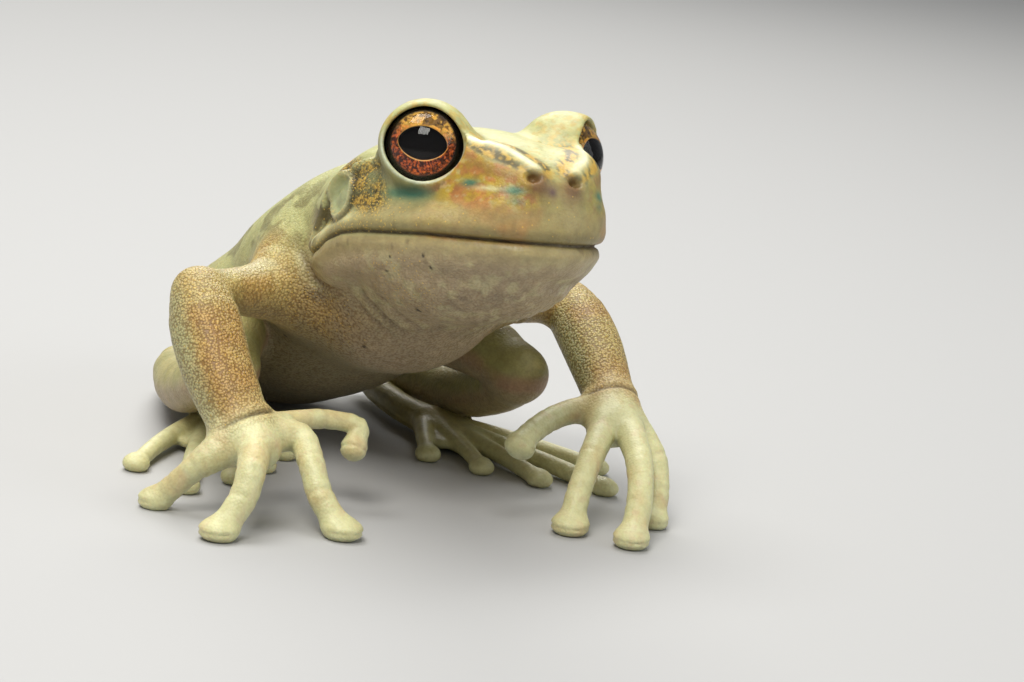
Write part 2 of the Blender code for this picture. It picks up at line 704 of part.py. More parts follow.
def piece(name, bm, origin, root):
    """A finished sub-part: metres, its own origin, material and parent."""
    at = (Vector(origin) - Vector(ORIGIN)) * M_
    bmesh.ops.translate(bm, verts=bm.verts, vec=-Vector(origin))
    bmesh.ops.scale(bm, verts=bm.verts, vec=(M_, M_, M_))
    ob = object_of(bm, name)
    ob.location = at
    ob.parent = root
    ob.data.materials.clear()
    ob.data.materials.append(material(look_of(name)))
    ob.data.shade_smooth()
    ob.data.set_sharp_from_angle(angle=rad(40))
    return ob


def anchors():
    """For each sub-part: a point inside it and its origin."""
    out = {'head': (hp(0, -3, -3), hp(0, -11, -4)), 'trunk': ((0, 8, 13), (0, 8, 13)),
           'lower_jaw': (hp(0, -1, -10), hp(0, -9.3, -8.4))}
    for k in 'rl':
        fix = mirrored if k == 'l' else (lambda c: c)
        out['upper_arm_' + k] = (between(ARM[k], 1, 0.5)[0], ARM[k][0][:3])
        out['forearm_' + k] = (between(FOREARM[k], 1, 0.5)[0], FOREARM[k][0][:3])
        out['hand_' + k] = (between(HAND[k], 0, 0.8)[0], HAND[k][0][:3])
        for f in '1234':
            out['finger_' + k + f] = (FINGER[k + f][2][:3], FINGER[k + f][1][:3])
        out['thigh_' + k] = (between(fix(THIGH), 1, 0.5)[0], fix(THIGH)[0][:3])
        out['shank_' + k] = (between(fix(SHANK), 2, 0.5)[0], fix(SHANK)[0][:3])
        out['foot_' + k] = (between(fix(TARSUS), 1, 0.5)[0], fix(TARSUS)[0][:3])
        for t in '12345':
            out['toe_' + k + t] = (between(fix(TOE[t]), 2, 0.5)[0], fix(TOE[t])[1][:3])
    return out


def main():
    for ob in list(bpy.data.objects):
        bpy.data.objects.remove(ob, do_unlink=True)
    root = bpy.data.objects.new('frog', None)
    bpy.context.scene.collection.objects.link(root)

    rest = whole_body()
    ears = {k: ear_place(s) for k, s in (('r', -1), ('l', 1))}

    # upper arms, thighs and shanks come out as round solids, their neighbours keep the seats
    outs = []
    for chains, grow in (((ARM['r'], ARM['l']), 0.4), ((THIGH, mirrored(THIGH)), 0.4), ((SHANK, mirrored(SHANK)), 0.3)):
        inner, outer = region('inner', chains, grow), region('outer', chains, grow + GAP + 0.16)
        out = copy_of(rest, 'limbs')
        boolean(out, inner, 'INTERSECT')
        boolean(rest, outer, 'DIFFERENCE')
        drop(inner)
        drop(outer)
        outs.append(out)

    # what is left is cut body by body across the neck, wrists, fingers and toes
    limbs = [object_of(bm, 'limb') for bm in parts_of(rest)]
    drop(rest)
    feet = {}
    for ob in limbs:
        for k, chain in (('r', TARSUS), ('l', mirrored(TARSUS))):
            P = coords(ob)
            if np.ptp(P[:, 2]) < 5.0 and abs(P[:, 0].mean() - chain[2][0]) < 6.0:
                feet[k] = ob
    for at, n, size in [*cut_places(), (hp(0, -11.6, -5.0), 0.976 * FWD + 0.217 * UP, 34.0)]:
        inside = []
        for ob in limbs:
            P = coords(ob)
            if (at > P.min(0)).all() and (at < P.max(0)).all():
                inside.append((np.prod(np.ptp(P, axis=0)), ob.name, ob))
        if inside:
            part_with(min(inside)[2], at, n, size)
    # the right foot is the left one's mirror image
    limbs.append(mirror_of(feet['l']))
    limbs.remove(feet['r'])
    drop(feet['r'])

    found = {}
    want = anchors()
    bodies = []
    for ob in (*outs, *limbs):
        bodies += parts_of(ob)
        drop(ob)
    for name, (p, _origin) in want.items():
        if name != 'lower_jaw':
            bm = holder([b for b in bodies if b not in found.values()], p)
            if bm is not None:
                found[name] = bm

    # the head is parted at the mouth line; eyes and tympana get their seats
    head = object_of(found.pop('head'), 'head_whole')
    part_with(head, hp(0, 0, -7.66), -0.0734 * FWD + 0.9973 * UP, 34.0)
    bm = bmesh.new()
    for s in (-1, 1):
        spheroid(bm, hp(s * EYE_OUT, 0, EYE_UP), np.array((EYE_R + GAP,) * 3), HEAD_ROWS, 16, 10)
    seats = object_of(bm, 'seats')
    boolean(head, seats, 'DIFFERENCE')
    drop(seats)
    bm = bmesh.new()
    for s in (-1, 1):
        ax = Vector(eye_axis(s))
        m = Matrix.Translation(Vector(hp(s * EYE_OUT, 0, EYE_UP)) + ax * (LID_OPEN + 2.5)) @ ax.to_track_quat('Z', 'Y').to_matrix().to_4x4()
        bmesh.ops.create_cone(bm, cap_ends=True, cap_tris=False, segments=16, radius1=3.5, radius2=4.6, depth=5.0, matrix=m)
    opening = object_of(bm, 'opening')
    boolean(head, opening, 'DIFFERENCE')
    drop(opening)
    drums = copy_of(head, 'drums')
    for r, depth, target, op in ((EAR_R, 0.7, drums, 'INTERSECT'), (EAR_R + GAP, 0.7 + GAP, head, 'DIFFERENCE')):
        bm = bmesh.new()
        for k, (c, n) in ears.items():
            m = Matrix.Translation(Vector(c) + Vector(n) * (1.0 - depth / 2 + 0.0)) @ Vector(n).to_track_quat('Z', 'Y').to_matrix().to_4x4()
            bmesh.ops.create_cone(bm, cap_ends=True, cap_tris=False, segments=16, radius1=r, radius2=r, depth=2.0 + depth, matrix=m)
        disc = object_of(bm, 'disc')
        boolean(target, disc, op)
        drop(disc)
    parts = parts_of(head)
    parts.sort(key=lambda b: -max(v.co.z for v in b.verts))
    found['head'], found['lower_jaw'] = parts[0], parts[1]
    drop(head)
    for bm in parts_of(drums, 0.05):
        x = sum((v.co.x for v in bm.verts)) / len(bm.verts)
        found['tympanum_r' if x < HEAD_AT[0] else 'tympanum_l'] = bm
    drop(drums)

    for name, bm in sorted(found.items()):
        tidy(bm)
        if len(bm.faces) > 120:
            bm = lighten(bm, 0.84 if name[:5] in ('trunk', 'thigh', 'upper', 'shank') else 0.74)
        for v in bm.verts:
            if v.co.z < FLAT:
                v.co.z = 0.0
        o = want[name][1] if name in want else ears[name[-1]][0]
        piece(name, bm, o, root)

    for k, s in (('r', -1), ('l', 1)):
        bm = bmesh.new()
        spheroid(bm, hp(s * EYE_OUT, 0, EYE_UP), np.array((EYE_R,) * 3), np.array((LEFT, -UP, FWD)), 16, 10)
        bmesh.ops.triangulate(bm, faces=bm.faces)
        piece('eye_' + k, bm, hp(s * EYE_OUT, 0, EYE_UP), root)

    for me in [m for m in bpy.data.meshes if m.users == 0]:
        bpy.data.meshes.remove(me)


main()
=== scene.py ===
# Looks of the Andean marsupial frog: one skin over the whole animal, two eyes with
# a clear cornea over a patterned iris, the floor, the light and the camera.
# The animal's shape is one distance field in millimetres, head towards -Y, +X its
# left side, ground at z = 0; details are carved into it and it is meshed finely.
import bpy
import math
import numpy as np
from concurrent.futures import ThreadPoolExecutor
from mathutils import Matrix, Vector


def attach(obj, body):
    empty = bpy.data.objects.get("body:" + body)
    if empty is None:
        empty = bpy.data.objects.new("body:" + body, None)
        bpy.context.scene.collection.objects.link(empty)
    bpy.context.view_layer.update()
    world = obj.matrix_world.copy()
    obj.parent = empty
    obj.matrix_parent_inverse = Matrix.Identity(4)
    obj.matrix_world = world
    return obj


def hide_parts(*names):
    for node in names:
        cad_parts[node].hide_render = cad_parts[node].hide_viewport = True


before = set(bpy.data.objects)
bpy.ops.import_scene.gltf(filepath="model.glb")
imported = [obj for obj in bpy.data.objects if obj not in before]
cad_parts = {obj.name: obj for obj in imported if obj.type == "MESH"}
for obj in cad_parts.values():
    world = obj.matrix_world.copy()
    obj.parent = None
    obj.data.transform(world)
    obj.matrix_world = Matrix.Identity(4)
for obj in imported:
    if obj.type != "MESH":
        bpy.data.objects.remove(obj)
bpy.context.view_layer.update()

# ---------------------------------------------------------------- sizes (mm)
SNOUT_VENT = 56.0
EYE_R = 3.15                 # eyeball radius
EYE_OUT = 6.15               # eye centre to the middle of the head
EYE_UP = -0.28               # eye centre over the head's own zero
LID_R = 3.62                 # outer radius of the lid over the eyeball
EYE_YAW = 40.0               # eye axis from straight ahead, degrees
EYE_PITCH = 5.0             # eye axis above the head's own level
LID_OPEN = 0.95              # plane of the lid opening, from the eye centre
GAP = 0.30                   # clearance between neighbouring pieces
WEB = 0.36                   # half thickness of the toe webs
EAR_R = 1.45                 # tympanum radius

HEAD_AT = np.array((1.9, -13.4, 29.0))     # midway between the eyes
HEAD_YAW, HEAD_PITCH, HEAD_ROLL = 9.0, 10.5, 3.0

# origin of the part: the middle of its footprint on the ground
ORIGIN = (-0.9975, 1.9653, 0.0)  # middle of the footprint

FLAT = 0.14                  # what lies lower than this rests flat on the floor
VOXEL = 0.42                 # grid of the first skin
TRIANGLES = 5120             # of the whole body before it is divided


def rad(a):
    return math.radians(a)


def head_axes():
    y, p, r = rad(HEAD_YAW), rad(HEAD_PITCH), rad(HEAD_ROLL)
    fwd = np.array((math.sin(y) * math.cos(p), -math.cos(y) * math.cos(p), math.sin(p)))
    left = np.array((math.cos(y), math.sin(y), 0.0))
    up = np.cross(left, -fwd) * -1.0
    if up[2] < 0:
        up = -up
    return left * math.cos(r) - up * math.sin(r), fwd, up * math.cos(r) + left * math.sin(r)


LEFT, FWD, UP = head_axes()


def hp(l, f, u):
    """A point of the head: left, forward and up of the mid-eye point."""
    return HEAD_AT + l * LEFT + f * FWD + u * UP


def eye_axis(s):
    y, p = rad(EYE_YAW), rad(EYE_PITCH)
    return (s * math.sin(y) * math.cos(p)) * LEFT + (math.cos(y) * math.cos(p)) * FWD + math.sin(p) * UP


# ------------------------------------------------------------ distance fields
def smin(a, b, k):
    h = np.maximum(k - np.abs(a - b), 0.0) / k
    return np.minimum(a, b) - h * h * k * 0.25


def smax(a, b, k):
    return -smin(-a, -b, k)


def step01(x, a, b):
    t = np.clip((x - a) / (b - a), 0.0, 1.0)
    return t * t * (3.0 - 2.0 * t)


def dist(P, c):
    d = P - c
    return np.sqrt(d[:, 0] ** 2 + d[:, 1] ** 2 + d[:, 2] ** 2)


def cone(P, a, b, ra, rb):
    a, b = np.asarray(a, float), np.asarray(b, float)
    ab = b - a
    q = P - a
    t = np.clip((q @ ab) / (ab @ ab), 0.0, 1.0)
    q = q - t[:, None] * ab
    return np.sqrt(np.einsum('ij,ij->i', q, q)) - (ra + (rb - ra) * t)


def ellipsoid(P, c, r, rows):
    q = (P - c) @ np.asarray(rows).T
    k0 = np.sqrt(((q / r) ** 2).sum(1)) + 1e-9
    k1 = np.sqrt(((q / np.square(r)) ** 2).sum(1)) + 1e-9
    return k0 * (k0 - 1.0) / k1


def sheet(P, a, b, c, half):
    """A flat triangle given a thickness."""
    a, b, c = [np.asarray(v, float) for v in (a, b, c)]
    ba, cb, ac = b - a, c - b, a - c
    pa, pb, pc = P - a, P - b, P - c
    n = np.cross(ba, ac)
    s = (np.sign(pa @ np.cross(ba, n)) + np.sign(pb @ np.cross(cb, n)) + np.sign(pc @ np.cross(ac, n)))

    def edge(e, q):
        t = np.clip((q @ e) / (e @ e), 0, 1)
        w = q - t[:, None] * e
        return np.einsum('ij,ij->i', w, w)
    d2 = np.where(s < 2.0, np.minimum(np.minimum(edge(ba, pa), edge(cb, pb)), edge(ac, pc)), (pa @ n) ** 2 / (n @ n))
    return np.sqrt(d2) - half


# ------------------------------------------------------------------ skeleton
def tilt_rows(a):
    """Axes across, along and over a body that rises forward by a degrees."""
    c, s = math.cos(rad(a)), math.sin(rad(a))
    return np.array(((1, 0, 0), (0, c, -s), (0, s, c)), float)


# trunk: centre, half sizes (across, along, over), rise forward
TRUNK = [((0.3, -1.8, 17.0), (8.8, 7.8, 8.3), 20.0),
         ((0.0, 6.6, 14.6), (10.0, 11.5, 7.6), 34.0),
         ((0.0, 14.6, 9.3), (9.0, 11.0, 6.8), 30.0),
         ((0.0, 22.2, 6.1), (5.7, 6.4, 4.8), 28.0)]

HEAD_ROWS = np.array((LEFT, FWD, UP))
# head: centre (left, forward, up), half sizes; entries with left > 0 are paired
HEAD = [((0.0, -3.0, -3.6), (8.0, 9.6, 5.2)),      # skull roof
        ((0.0, 4.0, -4.4), (5.3, 6.0, 4.1)),       # snout
        ((4.6, -6.6, -4.9), (4.7, 6.6, 4.2)),      # temple and jaw muscle
        ((0.0, -3.4, -9.2), (8.0, 9.4, 4.4)),      # floor of the mouth and throat
        ((0.0, 2.6, -7.6), (5.6, 5.8, 3.0))]       # chin
LIP = [(0.0, 8.75, -5.95), (2.3, 8.2, -5.95), (4.1, 6.9, -6.0), (5.7, 4.6, -6.1), (7.1, 1.5, -6.25),
       (8.1, -2.3, -6.5), (8.75, -6.0, -7.1), (8.7, -9.2, -8.3)]
LIP_R = 1.2
JAW = [(0.0, 7.9, -8.0), (2.2, 7.4, -8.0), (3.9, 6.1, -8.05), (5.4, 4.0, -8.15), (6.7, 1.0, -8.3),
       (7.7, -2.8, -8.6), (8.2, -6.2, -9.1), (8.2, -8.6, -9.6)]
JAW_R = 1.15
CANTHUS = [(4.9, 3.0, -0.9), (3.6, 5.9, -1.7), (2.1, 8.0, -2.5)]
CANTHUS_R = (1.1, 0.85, 0.75)

# limbs: x, y, z, radius
ARM = {
    'r': [(-6.4, 0.8, 15.6, 3.9), (-11.0, -1.6, 14.9, 2.4), (-14.6, -3.3, 15.0, 1.8), (-17.6, -4.9, 15.1, 1.95)],
    'l': [(6.6, 0.8, 15.3, 3.9), (11.0, 1.5, 14.3, 2.4), (14.4, 2.1, 13.8, 1.8), (17.2, 2.4, 13.5, 1.9)]}
FOREARM = {
    'r': [(-17.6, -4.9, 15.1, 1.95), (-17.5, -6.7, 13.3, 2.75), (-17.2, -9.2, 10.6, 2.72), (-16.3, -11.9, 7.6, 2.4), (-16.0, -12.6, 6.7, 2.15)],
    'l': [(17.2, 2.4, 13.5, 1.9), (17.4, 0.2, 12.7, 2.4), (17.4, -3.5, 10.8, 2.4), (17.0, -7.6, 8.5, 2.05), (16.9, -8.5, 7.9, 1.95)]}
HAND = {
    'r': [(-15.9, -12.6, 6.7, 1.95), (-15.9, -14.2, 6.0, 1.85), (-15.2, -15.2, 5.6, 1.6)],
    'l': [(16.9, -8.5, 7.9, 1.95), (16.2, -10.2, 7.2, 1.85), (15.5, -11.4, 6.7, 1.6)]}
FINGER = {
    'r1': [(-14.4, -12.9, 6.5, 1.25), (-11.6, -11.7, 6.8, 0.9), (-8.6, -10.9, 6.9, 0.72), (-5.9, -11.2, 6.4, 0.78), (-6.3, -12.0, 5.1, 0.85)],
    'r2': [(-14.6, -13.6, 6.2, 1.45), (-11.7, -13.9, 6.2, 1.15), (-11.4, -16.2, 4.9, 0.98), (-11.1, -17.9, 2.9, 0.98), (-9.9, -19.5, 0.72, 1.0)],
    'r3': [(-15.6, -13.6, 6.2, 1.6), (-16.0, -16.0, 5.9, 1.3), (-16.9, -18.4, 4.9, 1.1), (-17.7, -19.3, 2.9, 1.05), (-19.3, -19.9, 0.72, 1.0)],
    'r4': [(-16.4, -13.1, 5.9, 1.7), (-18.2, -14.0, 4.9, 1.35), (-19.6, -13.7, 3.7, 1.0), (-20.6, -12.6, 2.1, 0.9), (-21.6, -11.7, 0.62, 0.9)],
    'l1': [(15.9, -9.0, 7.6, 1.25), (13.3, -8.9, 7.3, 1.0), (11.1, -9.5, 6.7, 0.92), (9.3, -10.4, 5.9, 0.9), (8.2, -11.1, 5.2, 0.95)],
    'l2': [(16.1, -9.9, 7.3, 1.5), (14.7, -12.2, 6.7, 1.2), (12.5, -15.0, 5.1, 1.0), (10.8, -17.0, 2.8, 0.95), (9.9, -18.2, 0.72, 1.0)],
    'l3': [(16.6, -10.0, 7.3, 1.6), (16.5, -13.2, 6.7, 1.25), (15.6, -17.4, 5.2, 1.05), (14.6, -20.1, 2.8, 1.0), (13.4, -21.9, 0.72, 1.0)],
    'l4': [(17.2, -9.6, 7.2, 1.6), (18.2, -11.4, 6.2, 1.25), (18.9, -13.5, 4.5, 1.0), (18.6, -15.3, 2.4, 0.9), (17.9, -16.5, 0.62, 0.9)]}
# finger pads: half width, half thickness
PAD = {'r1': (0.95, 0.78), 'r2': (1.55, 0.88), 'r3': (1.48, 0.88), 'r4': (1.2, 0.8),
       'l1': (1.2, 0.8), 'l2': (1.5, 0.87), 'l3': (1.45, 0.87), 'l4': (1.2, 0.8)}
LIFTED = {'r1': (-0.3, -0.45, -0.84), 'l1': (-0.55, -0.45, -0.7)}   # pads that hang clear of the ground

# hind limbs of the right side; the left is their mirror image
HIP = (-5.4, 19.4, 8.8, 4.0)
THIGH = [HIP, (-8.0, 12.2, 10.0, 3.6), (-10.9, 5.2, 9.4, 2.8), (-12.6, 0.4, 8.0, 2.25)]
SHANK = [(-12.6, 0.4, 8.0, 2.25), (-13.1, 4.2, 5.9, 2.1), (-12.4, 10.8, 3.9, 2.25), (-10.7, 18.4, 3.2, 1.8), (-8.9, 23.2, 2.6, 1.4)]
TARSUS = [(-8.9, 23.2, 2.6, 1.4), (-8.5, 20.4, 1.8, 1.25), (-8.6, 15.0, 1.4, 1.2), (-9.3, 10.0, 1.4, 1.35)]
TOE = {
    '1': [(-9.1, 10.2, 1.3, 1.1), (-7.7, 7.0, 1.15, 0.76), (-6.9, 4.7, 0.92, 0.66), (-6.4, 2.8, 0.56, 0.66)],
    '2': [(-9.3, 10.0, 1.3, 1.1), (-9.7, 5.9, 1.15, 0.76), (-9.7, 2.2, 0.92, 0.66), (-9.5, -1.1, 0.56, 0.66)],
    '3': [(-9.5, 9.9, 1.3, 1.1), (-11.1, 5.3, 1.15, 0.8), (-12.2, 0.2, 0.95, 0.7), (-13.1, -4.6, 0.56, 0.7)],
    '4': [(-9.8, 9.9, 1.3, 1.1), (-12.4, 5.2, 1.15, 0.84), (-15.2, -0.8, 0.95, 0.74), (-17.8, -7.2, 0.56, 0.74)],
    '5': [(-10.0, 10.1, 1.3, 1.1), (-13.6, 6.9, 1.15, 0.8), (-17.0, 2.9, 0.95, 0.7), (-19.8, -0.9, 0.56, 0.7)]}
TOE_PAD = (1.05, 0.7)


def smooth(chain, n=3):
    """A chain with n steps in each span, on a curve through its points."""
    p = [np.array(q, float) for q in chain]
    p = [2 * p[0] - p[1]] + p + [2 * p[-1] - p[-2]]
    out = []
    for i in range(1, len(p) - 2):
        for j in range(n):
            t = j / n
            out.append(tuple(0.5 * (2 * p[i] + (p[i + 1] - p[i - 1]) * t
                                    + (2 * p[i - 1] - 5 * p[i] + 4 * p[i + 1] - p[i + 2]) * t * t
                                    + (3 * p[i] - p[i - 1] - 3 * p[i + 1] + p[i + 2]) * t ** 3)))
    out.append(tuple(p[-2]))
    return out


def mirrored(chain):
    return [(-x, y, z, r) for x, y, z, r in chain]


def pad_frame(chain, lifted=None):
    """Centre and axes of the pad at the end of a finger or toe."""
    e, b = np.array(chain[-1][:3]), np.array(chain[-2][:3])
    if lifted is not None:
        n = np.array(lifted, float)
        n /= np.linalg.norm(n)
        along = np.array((0.0, 0.0, 1.0)) - n * n[2]
        along /= np.linalg.norm(along)
        return e + 0.35 * n, np.array((np.cross(along, n), along, n))
    d = e - b
    d[2] = 0.0
    d /= np.linalg.norm(d)
    up = np.array((0.0, 0.0, 1.0))
    return e + 0.35 * d, np.array((np.cross(d, up), d, up))


def links(name, chain):
    ch = smooth(chain)
    return [(name, 'cone', np.array(a[:3]), np.array(b[:3]), a[3], b[3]) for a, b in zip(ch, ch[1:])]


def solids():
    """Every building block: name, kind and its numbers."""
    out = []
    for i, (c, r, a) in enumerate(TRUNK):
        out.append(('trunk', 'ell', np.array(c), np.array(r), tilt_rows(a)))
    for c, r in HEAD:
        for s in ((-1, 1) if c[0] > 0 else (1,)):
            out.append(('head', 'ell', hp(s * c[0], c[1], c[2]), np.array(r), HEAD_ROWS))
    for s in (-1, 1):
        for kind, ch, r in (('lip', LIP, LIP_R), ('jaw', JAW, JAW_R)):
            ch = smooth(ch, 4)
            for a, b in zip(ch, ch[1:]):
                out.append((kind, 'cone', hp(s * a[0], a[1], a[2]), hp(s * b[0], b[1], b[2]), r, r))
        for i in range(2):
            a, b = CANTHUS[i], CANTHUS[i + 1]
            out.append(('head', 'cone', hp(s * a[0], a[1], a[2]), hp(s * b[0], b[1], b[2]), CANTHUS_R[i], CANTHUS_R[i + 1]))
        out.append(('lid', 'ell', hp(s * EYE_OUT, 0, EYE_UP), np.array((LID_R,) * 3), HEAD_ROWS))
    for k, side in (('r', -1), ('l', 1)):
        for name, ch in (('arm_' + k, ARM[k]), ('forearm_' + k, FOREARM[k]), ('hand_' + k, HAND[k])):
            out += links(name, ch)
        for n in '1234':
            ch = FINGER[k + n]
            out += links('finger_' + k + n, ch)
            c, rows = pad_frame(ch, LIFTED.get(k + n))
            w, t = PAD[k + n]
            out.append(('pad_' + k + n, 'ell', c, np.array((w, w * 1.02, t)), rows))
        fix = mirrored if k == 'l' else (lambda c: c)
        for name, ch in (('thigh_' + k, THIGH), ('shank_' + k, SHANK), ('tarsus_' + k, TARSUS)):
            out += links(name, fix(ch))
        for n in '12345':
            ch = fix(TOE[n])
            out += links('toe_' + k + n, ch)
            c, rows = pad_frame(ch)
            w, t = TOE_PAD
            out.append(('toepad_' + k + n, 'ell', c, np.array((w, w * 1.02, t)), rows))
        for n in '1234':
            a, b = fix(TOE[n]), fix(TOE[str(int(n) + 1)])
            reach = 0.35 if n in '34' else 0.5
            pa = np.array(a[1][:3]) * (1 - reach) + np.array(a[2][:3]) * reach
            pb = np.array(b[1][:3]) * (1 - reach) + np.array(b[2][:3]) * reach
            root = np.array(a[0][:3])
            mid = (np.array(a[1][:3]) + np.array(b[1][:3])) / 2
            for tri in ((root, pa, mid), (root, mid, pb), (mid, pa, 0.5 * (pa + pb) + (mid - root) * 0.02), (mid, 0.5 * (pa + pb) + (mid - root) * 0.02, pb)):
                tri = [np.array((v[0], v[1], max(v[2] - 0.25, WEB + 0.35))) for v in tri]
                out.append(('web_' + k, 'web', tri[0], tri[1], tri[2], WEB))
    return out


SOLIDS = solids()
BLEND = {'trunk': 5.0, 'head': 2.6, 'lip': 1.3, 'jaw': 1.0, 'lid': 1.2}


def one(P, s):
    if s[1] == 'cone':
        return cone(P, s[2], s[3], s[4], s[5])
    if s[1] == 'ell':
        return ellipsoid(P, s[2], s[3], s[4])
    return sheet(P, s[2], s[3], s[4], s[5])


def reach(s):
    """Box round a building block."""
    if s[1] == 'cone':
        r = max(s[4], s[5])
        return np.minimum(s[2], s[3]) - r, np.maximum(s[2], s[3]) + r
    if s[1] == 'ell':
        r = np.abs(np.asarray(s[4]).T) @ s[3]
        return s[2] - r, s[2] + r
    return np.minimum(np.minimum(s[2], s[3]), s[4]) - s[5], np.maximum(np.maximum(s[2], s[3]), s[4]) + s[5]


GROUPS = {}
for s_ in SOLIDS:
    lo_, hi_ = reach(s_)
    g_ = GROUPS.setdefault(s_[0], [lo_, hi_, []])
    g_[0], g_[1] = np.minimum(g_[0], lo_), np.maximum(g_[1], hi_)
    g_[2].append(s_)
FAR = 5.0                    # a group counts only this near to it
FAR_OF = {'finger': 2.0, 'pad': 2.0, 'toe': 1.6, 'toepad': 1.6, 'web': 1.4, 'tarsus': 2.4, 'hand': 2.6, 'shank': 3.0, 'forearm': 3.0, 'lid': 3.0}


def group(P, name, k):
    lo, hi, members = GROUPS[name]
    q = P[:, :3]
    far = FAR_OF.get(name.split('_')[0], FAR)
    inside = ((q > lo - far) & (q < hi + far)).all(1)
    out = np.full(len(P), FAR)
    if inside.any():
        p, d = P[inside], None
        for s in members:
            v = one(p, s)
            d = v if d is None else (smin(d, v, k) if k else np.minimum(d, v))
        out[inside] = d
    return out


def near(P, c, r0, r1):
    """1 within r0 of a point, 0 beyond r1."""
    return 1.0 - step01(dist(P, np.array(c[:3])), r0, r1)


def body(P):
    """Distance to the whole animal's surface, millimetres, negative inside."""
    d = group(P, 'head', BLEND['head'])
    d = smin(d, group(P, 'lip', 0), BLEND['lip'])
    d = smin(d, group(P, 'jaw', 0), BLEND['jaw'])
    d = smin(d, group(P, 'lid', 0.3), BLEND['lid'])
    d = smin(d, group(P, 'trunk', BLEND['trunk']), 4.0)
    for k in 'rl':
        arm = group(P, 'arm_' + k, 0)
        d = smin(d, arm, 0.06 + 3.0 * near(P, ARM[k][0], 5.0, 9.0))
        fore = smin(arm, group(P, 'forearm_' + k, 0), 0.9)
        hand = smin(group(P, 'hand_' + k, 0), fore, 0.06 + 0.8 * near(P, HAND[k][0], 2.5, 5.0))
        for n in '1234':
            f = smin(group(P, 'finger_' + k + n, 0), group(P, 'pad_' + k + n, 0), 0.7)
            hand = smin(hand, f, 0.06 + 1.0 * near(P, FINGER[k + n][0], 2.6, 5.0))
        d = np.minimum(d, hand)
        fix = mirrored if k == 'l' else (lambda c: c)
        thigh = group(P, 'thigh_' + k, 0)
        d = smin(d, thigh, 0.06 + 2.4 * near(P, fix(THIGH)[0], 8.0, 20.0))
        shank = group(P, 'shank_' + k, 0)
        leg = smin(thigh, shank, 0.06 + 1.0 * near(P, fix(THIGH)[-1], 2.5, 5.0))
        foot = group(P, 'tarsus_' + k, 0)
        for n in '12345':
            toe = smin(group(P, 'toe_' + k + n, 0), group(P, 'toepad_' + k + n, 0), 0.6)
            foot = smin(foot, toe, 0.5)
        foot = smin(foot, group(P, 'web_' + k, 0.2), 0.35)
        foot = smin(leg, foot, 0.06 + 0.9 * near(P, fix(TARSUS)[0], 2.2, 5.0))
        d = np.minimum(d, foot)
    return smax(d, -P[:, 2], 0.02)




# ---------------------------------------------------------------- helpers
M_ = 0.001                   # millimetres to metres
H = 0.18  # grid of the skin


def unit(v):
    v = np.asarray(v, float)
    return v / np.linalg.norm(v)


def gradient(field, P, e=0.03):
    """Slope of a field from four corners of a tetrahedron."""
    g = np.zeros_like(P)
    for k in ((1, -1, -1), (-1, -1, 1), (-1, 1, -1), (1, 1, 1)):
        k = np.array(k, float)
        g += k * field(P + k * e)[:, None]
    return g / (4 * e)


def in_parts(field, P, size=60000):
    """A field over many points, in pieces on several threads."""
    cuts = [P[i:i + size] for i in range(0, len(P), size)]
    with ThreadPoolExecutor(4) as pool:
        return np.concatenate(list(pool.map(field, cuts)))


def bell(x, w):
    return np.exp(-(x / w) ** 2)


def hc(P):
    """Left, forward and up of the mid-eye point."""
    q = P - HEAD_AT
    return q @ LEFT, q @ FWD, q @ UP


def to_line(P, pts):
    """Distance to a polyline."""
    best = None
    for a, b in zip(pts, pts[1:]):
        v = cone(P, a, b, 0.0, 0.0)
        best = v if best is None else np.minimum(best, v)
    return best


def hashed(i, j, k, seed):
    h = (i * 374761393 + j * 668265263 + k * 2147483647 + seed * 1442695041) & 0xFFFFFFFF
    h = ((h ^ (h >> 13)) * 1274126177) & 0xFFFFFFFF
    return ((h ^ (h >> 16)) & 0xFFFF) / 65535.0


def noise(P, scale, seed=0):
    """Smooth value noise, 0 to 1, one lump per scale in millimetres."""
    q = np.asarray(P) / scale + 1000.0
    i = np.floor(q).astype(np.int64)
    t = q - i
    t = t * t * (3 - 2 * t)
    out = 0.0
    for a in (0, 1):
        for b in (0, 1):
            for c in (0, 1):
                w = (t[:, 0] if a else 1 - t[:, 0]) * (t[:, 1] if b else 1 - t[:, 1]) * (t[:, 2] if c else 1 - t[:, 2])
                out = out + w * hashed(i[:, 0] + a, i[:, 1] + b, i[:, 2] + c, seed)
    return out


def fractal(P, scale, seed=0, octaves=3):
    out, amp, total = 0.0, 1.0, 0.0
    for o in range(octaves):
        out = out + amp * noise(P, scale / 2 ** o, seed + 17 * o)
        total += amp
        amp *= 0.55
    return out / total


# ---------------------------------------------------------------- head marks
def eye_frame(s):
    """Centre and axes of an eye: towards the snout, up, outwards."""
    w = unit(eye_axis(s))
    t = unit(FWD - (FWD @ w) * w)
    v = np.cross(w, t)
    if v @ UP < 0:
        v = -v
    return hp(s * EYE_OUT, 0, EYE_UP), np.array((t, v, w))


EYES = {'r': eye_frame(-1), 'l': eye_frame(1)}
OPEN_T, OPEN_V = 3.02, 2.80  # half width and height of the eye opening


def land(p, steps=10):
    """The point of the body's surface nearest to a point."""
    p = np.asarray(p, float)[None]
    for _ in range(steps):
        g = gradient(body, p)
        p = p - body(p)[:, None] * g / np.maximum((g * g).sum(1), 0.2)[:, None]
    return p[0], unit(gradient(body, p)[0])


